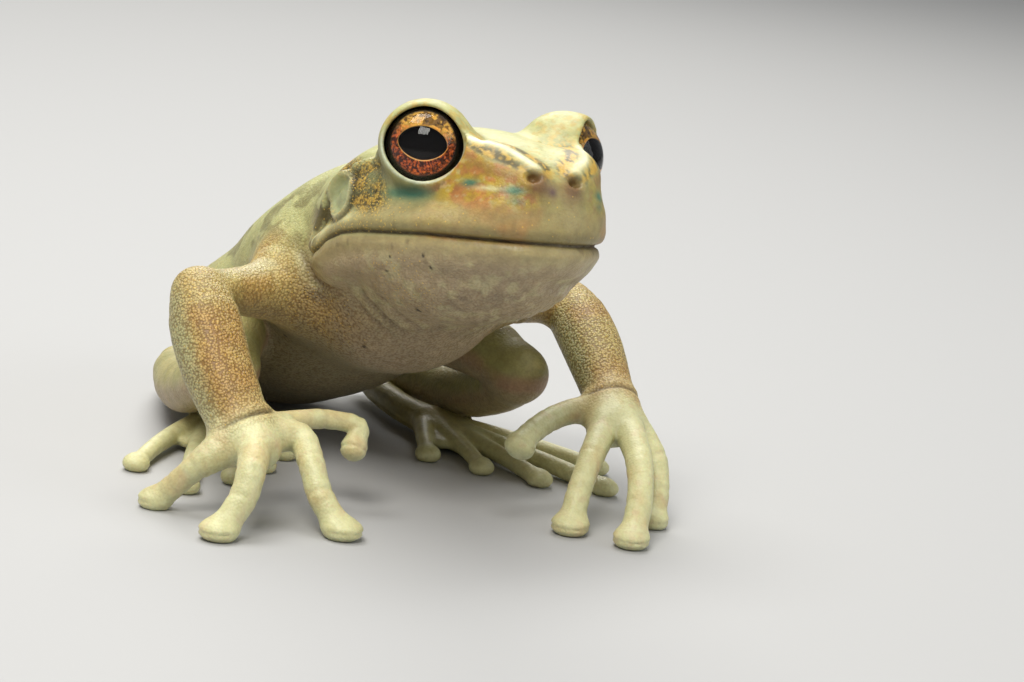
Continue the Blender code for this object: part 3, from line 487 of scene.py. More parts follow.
EARS = {'r': land(hp(-9.6, -7.3, -4.2)), 'l': land(hp(9.6, -7.3, -4.2))}
NOSE_SHIFT = -0.75
NOSE = {'r': land(hp(-1.8 + NOSE_SHIFT, 9.4, -2.15)), 'l': land(hp(1.8 + NOSE_SHIFT, 9.6, -2.35))}
MOUTH_F = (-13.0, -10.4, -8.8, -7.6, -5.6, -3.6, 2.7, 7.0, 9.6)
MOUTH_U = (-9.6, -9.1, -8.35, -7.65, -7.1, -6.9, -6.8, -6.95, -7.05)
FOLD = {k: [hp(s * 8.4, -3.3, -0.9), hp(s * 8.7, -5.2, -1.5), hp(s * 9.0, -7.2, -2.1), hp(s * 9.1, -9.2, -3.6),
            hp(s * 9.0, -10.6, -5.9), hp(s * 8.8, -11.6, -8.2)] for k, s in (('r', -1), ('l', 1))}
CANTH = {k: [hp(s * 5.1, 3.6, 0.5), hp(s * 4.05, 5.6, -0.22), hp(s * 3.0, 7.4, -0.9), hp(s * 1.8 + 0.5 * NOSE_SHIFT, 9.0, -1.5)]
         for k, s in (('r', -1), ('l', 1))}
CANTH_ON = {k: [land(p)[0] for p in CANTH[k]] for k in 'rl'}
# folds between throat, breast and arm: their course on the right side, depth, width
CREASE = [([(-7.9, -10.5, 18.3), (-6.1, -9.5, 16.6), (-4.5, -9.7, 15.2), (-2.5, -9.4, 13.7), (-0.9, -8.9, 12.7)], 0.17, 0.26),
          ([(-6.5, -8.4, 16.4), (-5.3, -8.6, 15.0), (-3.5, -8.8, 13.7), (-1.7, -8.3, 12.3)], 0.12, 0.22),
          ([(-6.3, -11.5, 17.7), (-4.5, -11.7, 16.2), (-2.3, -10.8, 14.7), (0.0, -10.0, 13.6)], 0.10, 0.20),
          ([(-8.9, -2.9, 19.1), (-8.9, -3.6, 18.4), (-8.8, -4.2, 17.6), (-8.4, -4.9, 16.5), (-7.6, -6.7, 16.3), (-6.5, -8.3, 16.3)], 0.24, 0.28)]
MID_X = 0.8                  # the fold's mirror plane at the throat
BREAST = (-7.5, -4.8, 13.9)  # grainy golden patch in front of the arm


def both(P):
    # points folded over onto the right side
    Q = P.copy()
    Q[:, 0] = np.where(P[:, 0] > MID_X, 2 * MID_X - P[:, 0], P[:, 0])
    return Q


PADS = {}
for k_ in 'rl':
    for n_ in '1234':
        PADS[k_ + n_] = (*pad_frame(FINGER[k_ + n_], LIFTED.get(k_ + n_)), *PAD[k_ + n_])


def local(P, c, r):
    """Which points lie within r of c."""
    return ((np.abs(P - c) < r).all(1))


def details(P):
    """Dents (positive) and ridges (negative) of the skin, in millimetres."""
    a = np.zeros(len(P))
    l, f, u = hc(P)
    m = (f > -13.5) & (f < 12) & (u > -16.5) & (u < 6) & (np.abs(l) < 12.5)
    if m.any():
        q, L, F, U = P[m], l[m], f[m], u[m]
        um = np.interp(F, MOUTH_F, MOUTH_U)
        on = step01(F, -12.0, -9.8)
        x = U - um
        tip = step01(F, 7.6, 9.6)
        add = on * ((0.30 - 0.10 * tip) * bell(x, 0.16) + (0.10 - 0.06 * tip) * bell(x + 0.05, 0.40) - 0.06 * bell(x - 0.85, 0.55)
                    - (0.22 + 0.16 * tip) * bell(x + 0.85, 0.6))
        # loreal hollow below the canthal ridge, soft bulge of the upper lip
        for s, k in ((-1, 'r'), (1, 'l')):
            add += 0.12 * np.exp(-(((L - s * 5.2) / 1.5) ** 2 + ((F - 5.2) / 2.0) ** 2 + ((U + 2.4) / 0.8) ** 2))
            add -= 0.50 * np.exp(-(((L - s * 4.4) / 2.2) ** 2 + ((F - 7.4) / 2.6) ** 2 + ((U + 4.3) / 1.25) ** 2))
            add -= 0.20 * bell(to_line(q, CANTH[k]), 0.5)
            # nostril: a small oval hole on a low swelling
            c, n = NOSE[k]
            d = q - c
            d = d - (d @ n)[:, None] * n
            side = unit(np.cross(n, UP))
            across = np.sqrt((d @ side / 0.44) ** 2 + (d @ np.cross(n, side) / 0.32) ** 2)
            close = bell(np.linalg.norm(q - c, axis=1), 2.2)
            add += close * (0.75 * bell(across, 0.95) - 0.11 * bell(across - 1.9, 1.0))
            # tympanum with its ring, and the fold over it
            c, n = EARS[k]
            d = q - c
            h = d @ n
            r = np.linalg.norm(d - h[:, None] * n, axis=1)
            close = step01(-np.abs(h), -2.4, -1.2)
            add += close * (0.24 * (1 - step01(r, 0.9, 1.55)) - 0.17 * bell(r - 1.68, 0.24) + 0.10 * bell(r - 2.15, 0.3) - 0.06 * bell(r, 0.35))
            t = to_line(q, FOLD[k])
            add -= 0.36 * bell(t, 0.55)
            add += 0.16 * bell(t - 1.0, 0.35) * step01(-U, 0.5, 2.5)
        # fine pleats of the throat
        throat = step01(-U, 8.9, 10.4) * step01(F, -10.0, -5.0)
        if (throat > 0).any():
            w = L * 0.75 + F * 0.9 + 0.5 * np.sin(L * 1.1 + 1.0) + 0.25 * np.sin(F * 2.3)
            add += throat * 0.075 * np.sin(w * 3.6) * (0.35 + 0.65 * fractal(q, 2.2, 5, 2))
            w = L * 1.5 - F * 0.35 + 0.6 * np.sin(F * 0.8)
            add += throat * 0.035 * np.sin(w * 4.1) * fractal(q, 1.7, 9, 2)
        a[m] = add
    # folds of the throat and breast
    m = (np.abs(P[:, 0] - MID_X) < 12.0) & (P[:, 1] > -14.5) & (P[:, 1] < 0.0) & (P[:, 2] > 10.5) & (P[:, 2] < 21.0)
    if m.any():
        q = both(P[m])
        q = q + 0.25 * (np.stack([noise(q, 1.6, 71), noise(q, 1.6, 72), noise(q, 1.6, 73)], 1) - 0.5)
        for pts, deep, wide in CREASE:
            t = to_line(q, [np.array(p) for p in pts])
            fade = step01(dist(q, np.array(pts[-1])), 0.2, 3.0) * step01(dist(q, np.array(pts[0])), 0.1, 1.8)
            a[m] += fade * (deep * bell(t, wide) - 0.4 * deep * bell(t - 0.75, 0.45))
    # wrists, knuckles and finger discs
    for k in 'rl':
        c, b = np.array(HAND[k][0][:3]), np.array(FOREARM[k][3][:3])
        m = local(P, c, 4.0)
        if m.any():
            n = unit(c - b)
            x = (P[m] - (c + n * 0.15)) @ n
            deep = (1.0 if k == 'r' else 0.55) * (1 - step01(dist(P[m], c), 2.35, 2.95))
            a[m] += deep * (0.20 * bell(x, 0.21) - 0.13 * bell(x + 0.50, 0.38)) - 0.04 * bell(x - 0.45, 0.3)
        for i in '1234':
            ch = FINGER[k + i]
            for j in (2, 3):
                c, b = np.array(ch[j][:3]), np.array(ch[j - 1][:3])
                m = local(P, c, 1.9)
                if m.any():
                    n = unit(c - b)
                    x = (P[m] - c) @ n
                    a[m] += 0.025 * bell(x, 0.16) - 0.035 * bell(np.abs(x) - 0.45, 0.35)
            c, rows, w, t = PADS[k + i]
            m = local(P, c, 2.6)
            if m.any():
                q = (P[m] - c) @ rows.T
                r = np.hypot(q[:, 0], q[:, 1])
                front = step01(q[:, 1], -0.7 * w, 0.2 * w)
                a[m] += front * 0.15 * bell(q[:, 2] + 0.05 * t, 0.12) * step01(r, 0.6 * w, 0.95 * w)
                a[m] -= 0.05 * bell(r, 0.5 * w) * step01(q[:, 2], 0.1, 0.6)
    # uneven flesh everywhere
    a += 0.10 * (fractal(P, 3.2, 3, 2) - 0.5)
    return a


def flesh(P):
    """Distance to the finished skin."""
    d = body(P)
    near_ = d < 2.2
    if near_.any():
        d[near_] += details(P[near_])
    for c, rows in EYES.values():
        m = local(P, c, 5.2)
        if m.any():
            q = (P[m] - c) @ rows.T
            t, v, w = q.T
            R = np.linalg.norm(q, axis=1)
            # the opening is a rounded almond, drawn out a little at both corners
            pinch = 1.0 + 0.10 * (t / OPEN_T) ** 2
            o = (np.sqrt((t / OPEN_T) ** 2 + (v * pinch / OPEN_V) ** 2) - 1.0) * 2.6
            dd = d[m]
            low = step01(-v, -0.6, 1.2)
            dd = dd + 0.12 * bell(o - 1.35, 0.24) * step01(v, -0.5, 1.5) * (w > -0.5)
            # the opening, then a rounded rim all along its edge
            dd = smax(dd, -np.maximum(o - 0.27, 0.20 - w), 0.10)
            rim = np.hypot(o - 0.27, R - 3.45 + 0.04 * low) - (0.27 - 0.04 * low)
            rim = np.where(w > 0.1, rim, 1.0)
            dd = smin(dd, rim, 0.34)
            dd = smax(dd, (EYE_R + 0.035) - R, 0.06)
            d[m] = dd
    return smax(d, -P[:, 2], 0.02)


# ---------------------------------------------------------------- meshing
def sampled(field, lo, hi, h):
    """The field on a fine grid, filled in only near the surface."""
    big = 4 * h
    n = np.ceil((hi - lo) / big).astype(int)
    ijk = np.stack(np.meshgrid(*[np.arange(k) for k in n], indexing='ij'), -1).reshape(-1, 3)
    centre = lo + (ijk + 0.5) * big
    dc = in_parts(field, centre)
    grid = np.where(dc < 0, -1.0, 1.0).astype(np.float32).reshape(n)
    grid = np.repeat(np.repeat(np.repeat(grid, 4, 0), 4, 1), 4, 2)
    live = ijk[np.abs(dc) < big * 0.87 + 0.62]
    sub = np.stack(np.meshgrid(*[np.arange(4)] * 3, indexing='ij'), -1).reshape(-1, 3)
    idx = (live[:, None, :] * 4 + sub[None]).reshape(-1, 3)
    d = in_parts(field, lo + (idx + 0.5) * h)
    grid[idx[:, 0], idx[:, 1], idx[:, 2]] = d
    return grid, len(idx)


def surface(grid, lo, h):
    """Quads round the zero level of a grid (surface nets)."""
    neg = grid < 0
    count = np.zeros(np.array(grid.shape) - 1, np.uint8)
    for a in (0, 1):
        for b in (0, 1):
            for c in (0, 1):
                count += neg[a:grid.shape[0] - 1 + a, b:grid.shape[1] - 1 + b, c:grid.shape[2] - 1 + c]
    cells = np.argwhere((count > 0) & (count < 8))
    ids = np.full(count.shape, -1, np.int32)
    ids[cells[:, 0], cells[:, 1], cells[:, 2]] = np.arange(len(cells))
    corners = [(a, b, c) for a in (0, 1) for b in (0, 1) for c in (0, 1)]
    val = np.stack([grid[cells[:, 0] + a, cells[:, 1] + b, cells[:, 2] + c] for a, b, c in corners], 1)
    total, number = np.zeros((len(cells), 3)), np.zeros(len(cells))
    for i, p in enumerate(corners):
        for j, q in enumerate(corners):
            if i < j and sum(abs(x - y) for x, y in zip(p, q)) == 1:
                m = (val[:, i] < 0) != (val[:, j] < 0)
                t = val[m, i] / (val[m, i] - val[m, j])
                total[m] += np.array(p) + t[:, None] * (np.array(q) - np.array(p))
                number[m] += 1
    P = lo + (cells + 0.5 + total / number[:, None]) * h
    faces = []
    for ax in range(3):
        b, c = (ax + 1) % 3, (ax + 2) % 3
        sl0, sl1 = [slice(None)] * 3, [slice(None)] * 3
        sl0[ax], sl1[ax] = slice(0, -1), slice(1, None)
        s0, s1 = neg[tuple(sl0)], neg[tuple(sl1)]
        e = np.argwhere(s0 != s1)
        e = e[(e[:, b] > 0) & (e[:, c] > 0)]
        e = e[(e[:, b] < grid.shape[b] - 1) & (e[:, c] < grid.shape[c] - 1)]
        out = s0[e[:, 0], e[:, 1], e[:, 2]]
        quad = []
        for db, dc_ in ((1, 1), (0, 1), (0, 0), (1, 0)):
            k = e.copy()
            k[:, b] -= db
            k[:, c] -= dc_
            quad.append(ids[k[:, 0], k[:, 1], k[:, 2]])
        quad = np.stack(quad, 1)
        quad[~out] = quad[~out][:, ::-1]
        faces.append(quad)
    return P, np.concatenate(faces)


def settle_on(field, P, steps, limit):
    for _ in range(steps):
        def move(Q):
            d, g = field(Q), gradient(field, Q)
            m = -(d / np.maximum((g * g).sum(1), 0.3))[:, None] * g
            size = np.linalg.norm(m, axis=1)
            return Q + m * np.minimum(1.0, limit / np.maximum(size, 1e-9))[:, None]
        P = in_parts(move, P, 30000)
    return P


def mesh_object(name, P, faces, smooth_=True):
    """A mesh from points in millimetres of the animal's frame."""
    me = bpy.data.meshes.new(name)
    me.vertices.add(len(P))
    me.vertices.foreach_set('co', ((P - np.array(ORIGIN)) * M_).astype(np.float32).ravel())
    k = faces.shape[1]
    me.loops.add(len(faces) * k)
    me.loops.foreach_set('vertex_index', faces.astype(np.int32).ravel())
    me.polygons.add(len(faces))
    me.polygons.foreach_set('loop_start', np.arange(len(faces), dtype=np.int32) * k)
    me.update(calc_edges=True)
    me.validate()
    if smooth_:
        me.shade_smooth()
    ob = bpy.data.objects.new(name, me)
    bpy.context.scene.collection.objects.link(ob)
    return ob


def paint(ob, name, C):
    """A colour or mask per vertex."""
    at = ob.data.color_attributes.new(name, 'FLOAT_COLOR', 'POINT')
    C = np.asarray(C, np.float32)
    if C.ndim == 1:
        C = np.stack([C, C, C], 1)
    at.data.foreach_set('color', np.concatenate([C, np.ones((len(C), 1), np.float32)], 1).ravel())


# ---------------------------------------------------------------- colours
def lin(*c):
    c = np.array(c, float)
    return np.where(c <= 0.04045, c / 12.92, ((c + 0.055) / 1.055) ** 2.4)


def mix(a, b, w):
    w = np.clip(w, 0, 1)
    return a * (1 - w[:, None]) + b * w[:, None]


BACK = lin(0.72, 0.72, 0.49)
BACK_2 = lin(0.63, 0.62, 0.38)
FLANK = lin(0.60, 0.57, 0.34)
OLIVE = lin(0.29, 0.25, 0.10)
BELLY = lin(0.66, 0.61, 0.47)
THROAT = lin(0.69, 0.615, 0.49)
LIP_C = lin(0.66, 0.60, 0.40)
LOREAL = lin(0.74, 0.50, 0.26)
YELLOW = lin(0.74, 0.62, 0.20)
GOLD = lin(0.84, 0.68, 0.26)
TEAL = lin(0.16, 0.47, 0.38)
CANTHAL = lin(0.86, 0.85, 0.64)
DARK = lin(0.20, 0.13, 0.08)
ARM_C = lin(0.77, 0.64, 0.37)
ARM_2 = lin(0.80, 0.75, 0.48)
HAND_C = lin(0.83, 0.82, 0.62)
HAND_2 = lin(0.80, 0.70, 0.48)
LEG_C = lin(0.70, 0.66, 0.43)
EAR_C = lin(0.66, 0.68, 0.50)


def part_weights(P):
    """How much each point belongs to each region of the body."""
    d = {'head': np.minimum(np.minimum(group(P, 'head', 2.6), group(P, 'lip', 0)), np.minimum(group(P, 'jaw', 0), group(P, 'lid', 0.3))),
         'trunk': group(P, 'trunk', 5.0)}
    for k in 'rl':
        d['arm_' + k] = group(P, 'arm_' + k, 0)
        d['fore_' + k] = group(P, 'forearm_' + k, 0)
        d['hand_' + k] = group(P, 'hand_' + k, 0)
        for n in '1234':
            d['hand_' + k] = np.minimum(d['hand_' + k], np.minimum(group(P, 'finger_' + k + n, 0), group(P, 'pad_' + k + n, 0)))
        d['thigh_' + k] = group(P, 'thigh_' + k, 0)
        d['shank_' + k] = group(P, 'shank_' + k, 0)
        d['foot_' + k] = np.minimum(group(P, 'tarsus_' + k, 0), group(P, 'web_' + k, 0))
        for n in '12345':
            d['foot_' + k] = np.minimum(d['foot_' + k], np.minimum(group(P, 'toe_' + k + n, 0), group(P, 'toepad_' + k + n, 0)))
    w = {k: np.exp(-np.maximum(v, 0) / 0.45) for k, v in d.items()}
    total = sum(w.values())
    return {k: v / total for k, v in w.items()}


def skin_colours(P, N):
    """Base colour, granularity, gold and sheen of the skin at each point."""
    n = len(P)
    l, f, u = hc(P)
    s = np.sign(l)
    n1, n2, n3 = fractal(P, 2.6, 21), fractal(P, 0.9, 22), fractal(P, 0.42, 23, 2)
    up = N[:, 2]
    W = part_weights(P)
    one_ = np.ones(n)

    # trunk: pale back, dark band along the upper flank, grey-brown belly
    side = np.abs(P[:, 0]) / 10.0
    t = mix(BACK[None] * one_[:, None], BACK_2, (n1 - 0.5) * 1.6)
    t = mix(t, FLANK, step01(0.62 - up, 0.0, 0.5) * (0.5 + 0.9 * (n2 - 0.5)))
    blot = step01(fractal(P * np.array((1.0, 0.7, 1.0)), 1.7, 61, 3), 0.47, 0.56)
    band = step01(up, 0.12, 0.32) * step01(0.80 - up, 0.0, 0.2) * step01(P[:, 1], -8.0, -5.0) * step01(19.0 - P[:, 1], 0.0, 6.0)
    t = mix(t, lin(0.42, 0.38, 0.20), blot * band * 0.62)
    t = mix(t, BACK * 1.05, step01(fractal(P, 0.5, 62, 2), 0.60, 0.68) * step01(up, 0.1, 0.6) * 0.35)
    t = mix(t, BELLY * 1.0, step01(-up, -0.25, 0.25))
    t = mix(t, BELLY * 0.84, step01(-up, 0.0, 0.5) * step01(n2, 0.48, 0.68) * 0.5)
    t = mix(t, THROAT, step01(-P[:, 1], 2.0, 6.0) * step01(-up, -0.5, 0.1))

    # head
    h = mix(BACK[None] * one_[:, None], BACK_2, (n1 - 0.5) * 1.4)
    um = np.interp(f, MOUTH_F, MOUTH_U)
    x = u - um
    lo = np.empty((n, 3))
    canth = np.minimum(to_line(P, CANTH_ON['r']), to_line(P, CANTH_ON['l']))
    # which side of the canthal line: 1 below it (the side of the snout)
    line_u = np.interp(f, (3.6, 5.6, 7.4, 9.0, 9.7), (0.4, -0.32, -1.0, -1.65, -2.3))
    below = step01(line_u - u, 0.05, 0.45) * step01(f, 1.0, 3.2)
    lie = np.stack([l, f * 0.34 + l * 0.1, u], 1)
    n4, n5 = fractal(lie, 0.50, 25, 3), fractal(lie, 0.30, 27, 2)
    lor = mix(LOREAL[None] * one_[:, None], YELLOW, step01(n4 + 0.10 * bell(u - line_u + 1.0, 0.9), 0.42, 0.58) * 0.95)
    lor = mix(lor, lin(0.56, 0.36, 0.22), step01(n5, 0.56, 0.70) * 0.45)
    lor = mix(lor, CANTHAL * 0.9, step01(0.40 - n5, 0.0, 0.10) * 0.35)
    lor = mix(lor, lin(0.72, 0.55, 0.34), step01(-u, 4.0, 5.4) * step01(n1, 0.40, 0.60) * 0.6)
    front = step01(f, 8.2, 9.6) * step01(3.0 - np.abs(l + 0.1), 0.0, 1.4)
    lor = mix(lor, mix(BACK_2[None] * one_[:, None], LIP_C, 0.5 * one_), front * 0.85)
    lor = mix(lor, BACK_2 * 0.95, step01(l, 0.3, 2.8) * 0.6)
    h = mix(h, lor, below)
    # yellow-gold flecks on the snout's top
    band = bell(canth - 1.05, 0.62) * (1 - below) * step01(f, 1.0, 3.5) * step01(u, -4.0, -1.0)
    h = mix(h, mix(OLIVE[None] * one_[:, None] * 1.4, GOLD * 0.85, step01(n5, 0.46, 0.54)), np.clip(band * 1.15, 0, 1) * 0.95)
    h = mix(h, GOLD * 0.8, step01(fractal(P, 0.34, 26, 2), 0.60, 0.68) * (1 - below) * step01(f, 3.0, 6.0) * 0.5)
    # gold-olive bloom on the inner slope of the brows
    brow = bell(np.minimum(dist(P, hp(-3.6, 3.2, 1.3)), dist(P, hp(3.6, 3.2, 1.3))), 2.2) * (1 - below)
    h = mix(h, mix(BACK_2[None] * one_[:, None] * 0.8, GOLD * 0.85, step01(n5, 0.48, 0.56)), brow * 0.7)
    # upper lip: beige gold
    lip = step01(3.3 - x, 0.0, 1.6) * step01(x, -0.3, 0.1)
    h = mix(h, mix(LIP_C[None] * one_[:, None], LOREAL, step01(n1, 0.5, 0.72) * 0.45), lip * 0.85)
    # cheek and temple: dark olive with gold granules
    temple = step01(-f, 0.6, 2.6) * step01(np.abs(l), 6.2, 7.4) * step01(-u, 0.8, 2.0) * step01(x, 0.9, 2.3) * step01(f, -11.5, -9.0)
    lump = step01(fractal(P, 1.5, 28, 2), 0.40, 0.58)
    tem = mix(OLIVE[None] * one_[:, None] * 1.35, GOLD * 0.85, step01(fractal(P, 0.26, 24, 2), 0.49, 0.56) * 0.9 * lump)
    tem = mix(tem, lin(0.52, 0.54, 0.36), (1 - lump) * 0.75)
    h = mix(h, tem, temple * 0.92)
    # whitish-gold stripe above the angle of the jaw
    stripe = bell(x - 1.15, 0.55) * step01(-f, 3.2, 5.5) * step01(np.abs(l), 6.0, 7.5)
    h = mix(h, CANTHAL * 0.92, stripe * 0.75)
    # pale canthal line
    h = mix(h, lin(0.60, 0.46, 0.24), bell(line_u - u - 0.85, 0.42) * below * step01(f, 2.0, 4.0) * step01(9.3 - f, 0.0, 1.0) * 0.75)
    h = mix(h, lin(0.94, 0.93, 0.76), np.clip(bell(canth, 0.30) * 1.3, 0, 1) * 0.95)
    # turquoise patches: under the eye and towards the nostril
    for (a, b, c), r, amt in (((7.6, 0.9, -3.75), (1.6, 1.5, 0.50), 1.0), ((8.2, -0.6, -3.9), (1.2, 0.9, 0.40), 0.7),
                              ((3.6, 8.6, -3.25), (0.9, 0.8, 0.34), 0.9), ((3.3, 8.7, -4.05), (0.7, 0.6, 0.28), 0.75), ((5.7, 5.6, -2.85), (0.8, 0.9, 0.30), 0.85)):
        e = ((np.abs(l) - a) / r[0]) ** 2 + ((f - b) / r[1]) ** 2 + ((u - c) / r[2]) ** 2
        h = mix(h, TEAL, np.clip(np.exp(-e * (0.5 + n2)) * 1.25, 0, 1) * amt)
    # pale streak between the turquoise patches
    e = ((np.abs(l) - 4.7) / 1.1) ** 2 + ((f - 7.0) / 1.3) ** 2 + ((u + 3.2) / 0.16) ** 2
    h = mix(h, CANTHAL * 1.05, np.exp(-e) * 0.85)
    # painted shade: the nostril holes are painted dark; round each nostril a brown patch, and a violet-brown spot
    # between them
    for k in 'rl':
        c, _n = NOSE[k]
        r = np.linalg.norm(P - c, axis=1)
        h = mix(h, DARK * 0.5, bell(r, 0.42))
        r = np.linalg.norm(P - (c - 0.55 * UP + 0.45 * LEFT * (1 if k == 'r' else -1)), axis=1) * (0.8 + 0.5 * n2)
        h = mix(h, lin(0.45, 0.30, 0.19), np.clip(bell(r, 1.05) * 1.3, 0, 1) * 0.8)
    r = np.linalg.norm(P - land(hp(-1.1, 9.8, -3.2))[0], axis=1)
    h = mix(h, lin(0.34, 0.22, 0.26), bell(r, 0.42) * 0.85)
    # throat, and painted shade along the mouth: a dark line in the crease between the lips, darker bands on the lip
    # edges just below and above it
    thr = mix(THROAT[None] * one_[:, None], THROAT * 0.74, step01(n1, 0.42, 0.7) * 0.8)
    thr = mix(thr, CANTHAL * 0.85, step01(n2, 0.52, 0.70) * 0.35)
    thr = mix(thr, LIP_C * 1.08, step01(x, -2.6, -0.5) * 0.75)
    # painted shade: darker band on the lower lip, under the edge of the upper lip
    thr = mix(thr, LIP_C * 0.72, bell(x + 0.35, 0.35) * 0.5)
    h = mix(h, thr, step01(-x, -0.05, 0.5))
    # painted shade: dark line in the mouth's crease, dark olive on the upper lip's lower edge
    h = mix(h, DARK, bell(x + 0.02, 0.20) * step01(f, -11.5, -9.0) * 0.85)
    h = mix(h, OLIVE * 0.9, bell(x - 0.5, 0.4) * step01(f, -10.0, -6.0) * 0.35)
    # dark specks scattered on throat and lip
    speck = step01(noise(P, 0.62, 77), 0.86, 0.93)
    h = mix(h, DARK, speck * step01(-x, -2.5, 0.5) * 0.35)
    # tympanum
    for k in 'rl':
        c, nn = EARS[k]
        d = P - c
        hh = d @ nn
        r = np.linalg.norm(d - hh[:, None] * nn, axis=1)
        ok = np.abs(hh) < 2.0
        h = mix(h, EAR_C, (1 - step01(r, 1.3, 1.6)) * ok * 0.95)
        h = mix(h, OLIVE * 0.8, bell(r - 2.1, 0.32) * ok * 0.8)
        h = mix(h, CANTHAL * 0.8, bell(r - 1.66, 0.17) * ok * 0.85)
        fold = to_line(P, FOLD[k])
        h = mix(h, OLIVE, bell(fold - 0.95, 0.4) * step01(-u, 1.2, 3.0) * step01(-f, 3.0, 6.0) * 0.5 * (r > 1.8))
        h = mix(h, BACK * 1.02, bell(fold, 0.55) * 0.85)
        # dark band behind the ear
        back = step01(-f, 8.5, 9.8) * step01(np.abs(l), 6.2, 8.2) * step01(-u, 3.2, 5.0) * step01(x, -0.5, 1.5)
        mott = step01(fractal(P, 0.8, 61, 2), 0.44, 0.56)
        h = mix(h, OLIVE * 1.3, back * mott * step01(f, -14.5, -12.5) * 0.7)
    drum = np.zeros(n)
    for c, nn in EARS.values():
        d = P - c
        hh = d @ nn
        drum = np.maximum(drum, (1 - step01(np.linalg.norm(d - hh[:, None] * nn, axis=1), 1.5, 2.0)) * (np.abs(hh) < 2.0))
    # lids
    for c, rows in EYES.values():
        q = (P - c) @ rows.T
        tt, v, w = q.T
        R = np.linalg.norm(q, axis=1)
        near_eye = (R < 4.3) & (w > -1.5)
        o = (np.sqrt((tt / OPEN_T) ** 2 + (v / OPEN_V) ** 2) - 1.0) * 2.6
        h = mix(h, mix(BACK[None] * one_[:, None], GOLD * 0.8, step01(n3, 0.52, 0.62) * 0.55), near_eye * step01(v, -0.6, 0.8) * bell(o - 0.2, 0.75) * 0.9)
        h = mix(h, OLIVE, near_eye * step01(-v, -0.5, 0.7) * bell(o - 0.65, 0.4) * 0.55)
        h = mix(h, lin(0.80, 0.84, 0.74), near_eye * step01(-v, -0.9, 0.3) * bell(o - 0.12, 0.11) * 0.9)
        # painted shade: the skin inside the socket, against the eyeball, is painted near black
        h = mix(h, DARK * 0.4, near_eye * (R < 3.235) * 1.0)

    # limbs
    a_under = step01(-up, -0.1, 0.7)
    arm = mix(ARM_C[None] * one_[:, None], ARM_2, step01(n1, 0.40, 0.66) * 0.55)
    arm = mix(arm, BELLY, a_under * 0.45)
    fore = mix(ARM_C[None] * one_[:, None], ARM_2, step01(np.abs(noise(P, 4.0, 31) - 0.5), 0.05, 0.3) * 0.6)
    # warmer on the side turned forward; a painted highlight along the side edges, pale green-grey
    fore = mix(fore, lin(0.73, 0.56, 0.28), step01(-N[:, 1], 0.3, 0.95) * step01(n1, 0.35, 0.6) * 0.7)
    fore = mix(fore, lin(0.74, 0.75, 0.56), step01(np.abs(N[:, 0]), 0.62, 0.95) * 0.7)
    fore = mix(fore, HAND_C, step01(-P[:, 2], -8.2, -6.6) * 0.85)
    # painted highlight: the top of the upper arm is paler
    arm = mix(arm, lin(0.74, 0.75, 0.56), step01(up, 0.55, 0.95) * 0.5)
    hand = mix(HAND_C[None] * one_[:, None], HAND_2, step01(n1, 0.46, 0.68) * 0.5)
    hand = mix(hand, lin(0.70, 0.73, 0.60), step01(-up, 0.0, 0.7) * 0.4)
    hand = mix(hand, lin(0.74, 0.58, 0.48), step01(n2, 0.56, 0.70) * 0.22)
    leg = mix(LEG_C[None] * one_[:, None], BACK_2, step01(n1, 0.4, 0.66) * 0.6)
    bars = step01(np.sin(P[:, 1] * 0.95 + np.abs(P[:, 0]) * 0.35 + 1.2 * n1), 0.35, 0.9)
    leg = mix(leg, FLANK, bars * step01(up, -0.1, 0.4) * 0.55)
    leg = mix(leg, THROAT, step01(-up, -0.25, 0.4) * 0.85)
    leg = mix(leg, lin(0.66, 0.44, 0.34), step01(0.45 - np.abs(up + 0.15), 0.0, 0.35) * step01(-N[:, 1], 0.0, 0.6) * 0.5)
    foot = mix(LEG_C[None] * one_[:, None], HAND_C, step01(-P[:, 1], -9.0, -4.0) * 0.85)
    foot = mix(foot, FLANK * 1.2, step01(up, 0.2, 0.8) * step01(n2, 0.52, 0.66) * 0.35)

    # painted shade: a dark line along the wrist crease, on forearm and hand
    for k in 'rl':
        c, b = np.array(HAND[k][0][:3]), np.array(FOREARM[k][3][:3])
        d = unit(c - b)
        line = bell((P - (c + d * 0.15)) @ d, 0.17) * (1 - step01(dist(P, c), 2.35, 2.95))
        fore, hand = mix(fore, DARK * 1.3, line * 0.6), mix(hand, DARK * 1.3, line * 0.6)
    C = W['head'][:, None] * h + W['trunk'][:, None] * t
    for k in 'rl':
        C = C + W['arm_' + k][:, None] * arm + W['fore_' + k][:, None] * fore + W['hand_' + k][:, None] * hand
        C = C + (W['thigh_' + k] + W['shank_' + k])[:, None] * leg + W['foot_' + k][:, None] * foot
    C = C * (0.90 + 0.2 * n2)[:, None]
    # folds, with painted shade in each fold and a painted highlight along its edges; the grainy patch on the breast and
    # single dark specks
    q = both(P)
    for pts, deep, wide in CREASE:
        box = (np.abs(q - np.array(pts[1])) < 9.0).all(1)
        if box.any():
            t = to_line(q[box], [np.array(p) for p in pts])
            fade = step01(dist(q[box], np.array(pts[-1])), 0.2, 3.0) * step01(dist(q[box], np.array(pts[0])), 0.1, 1.8)
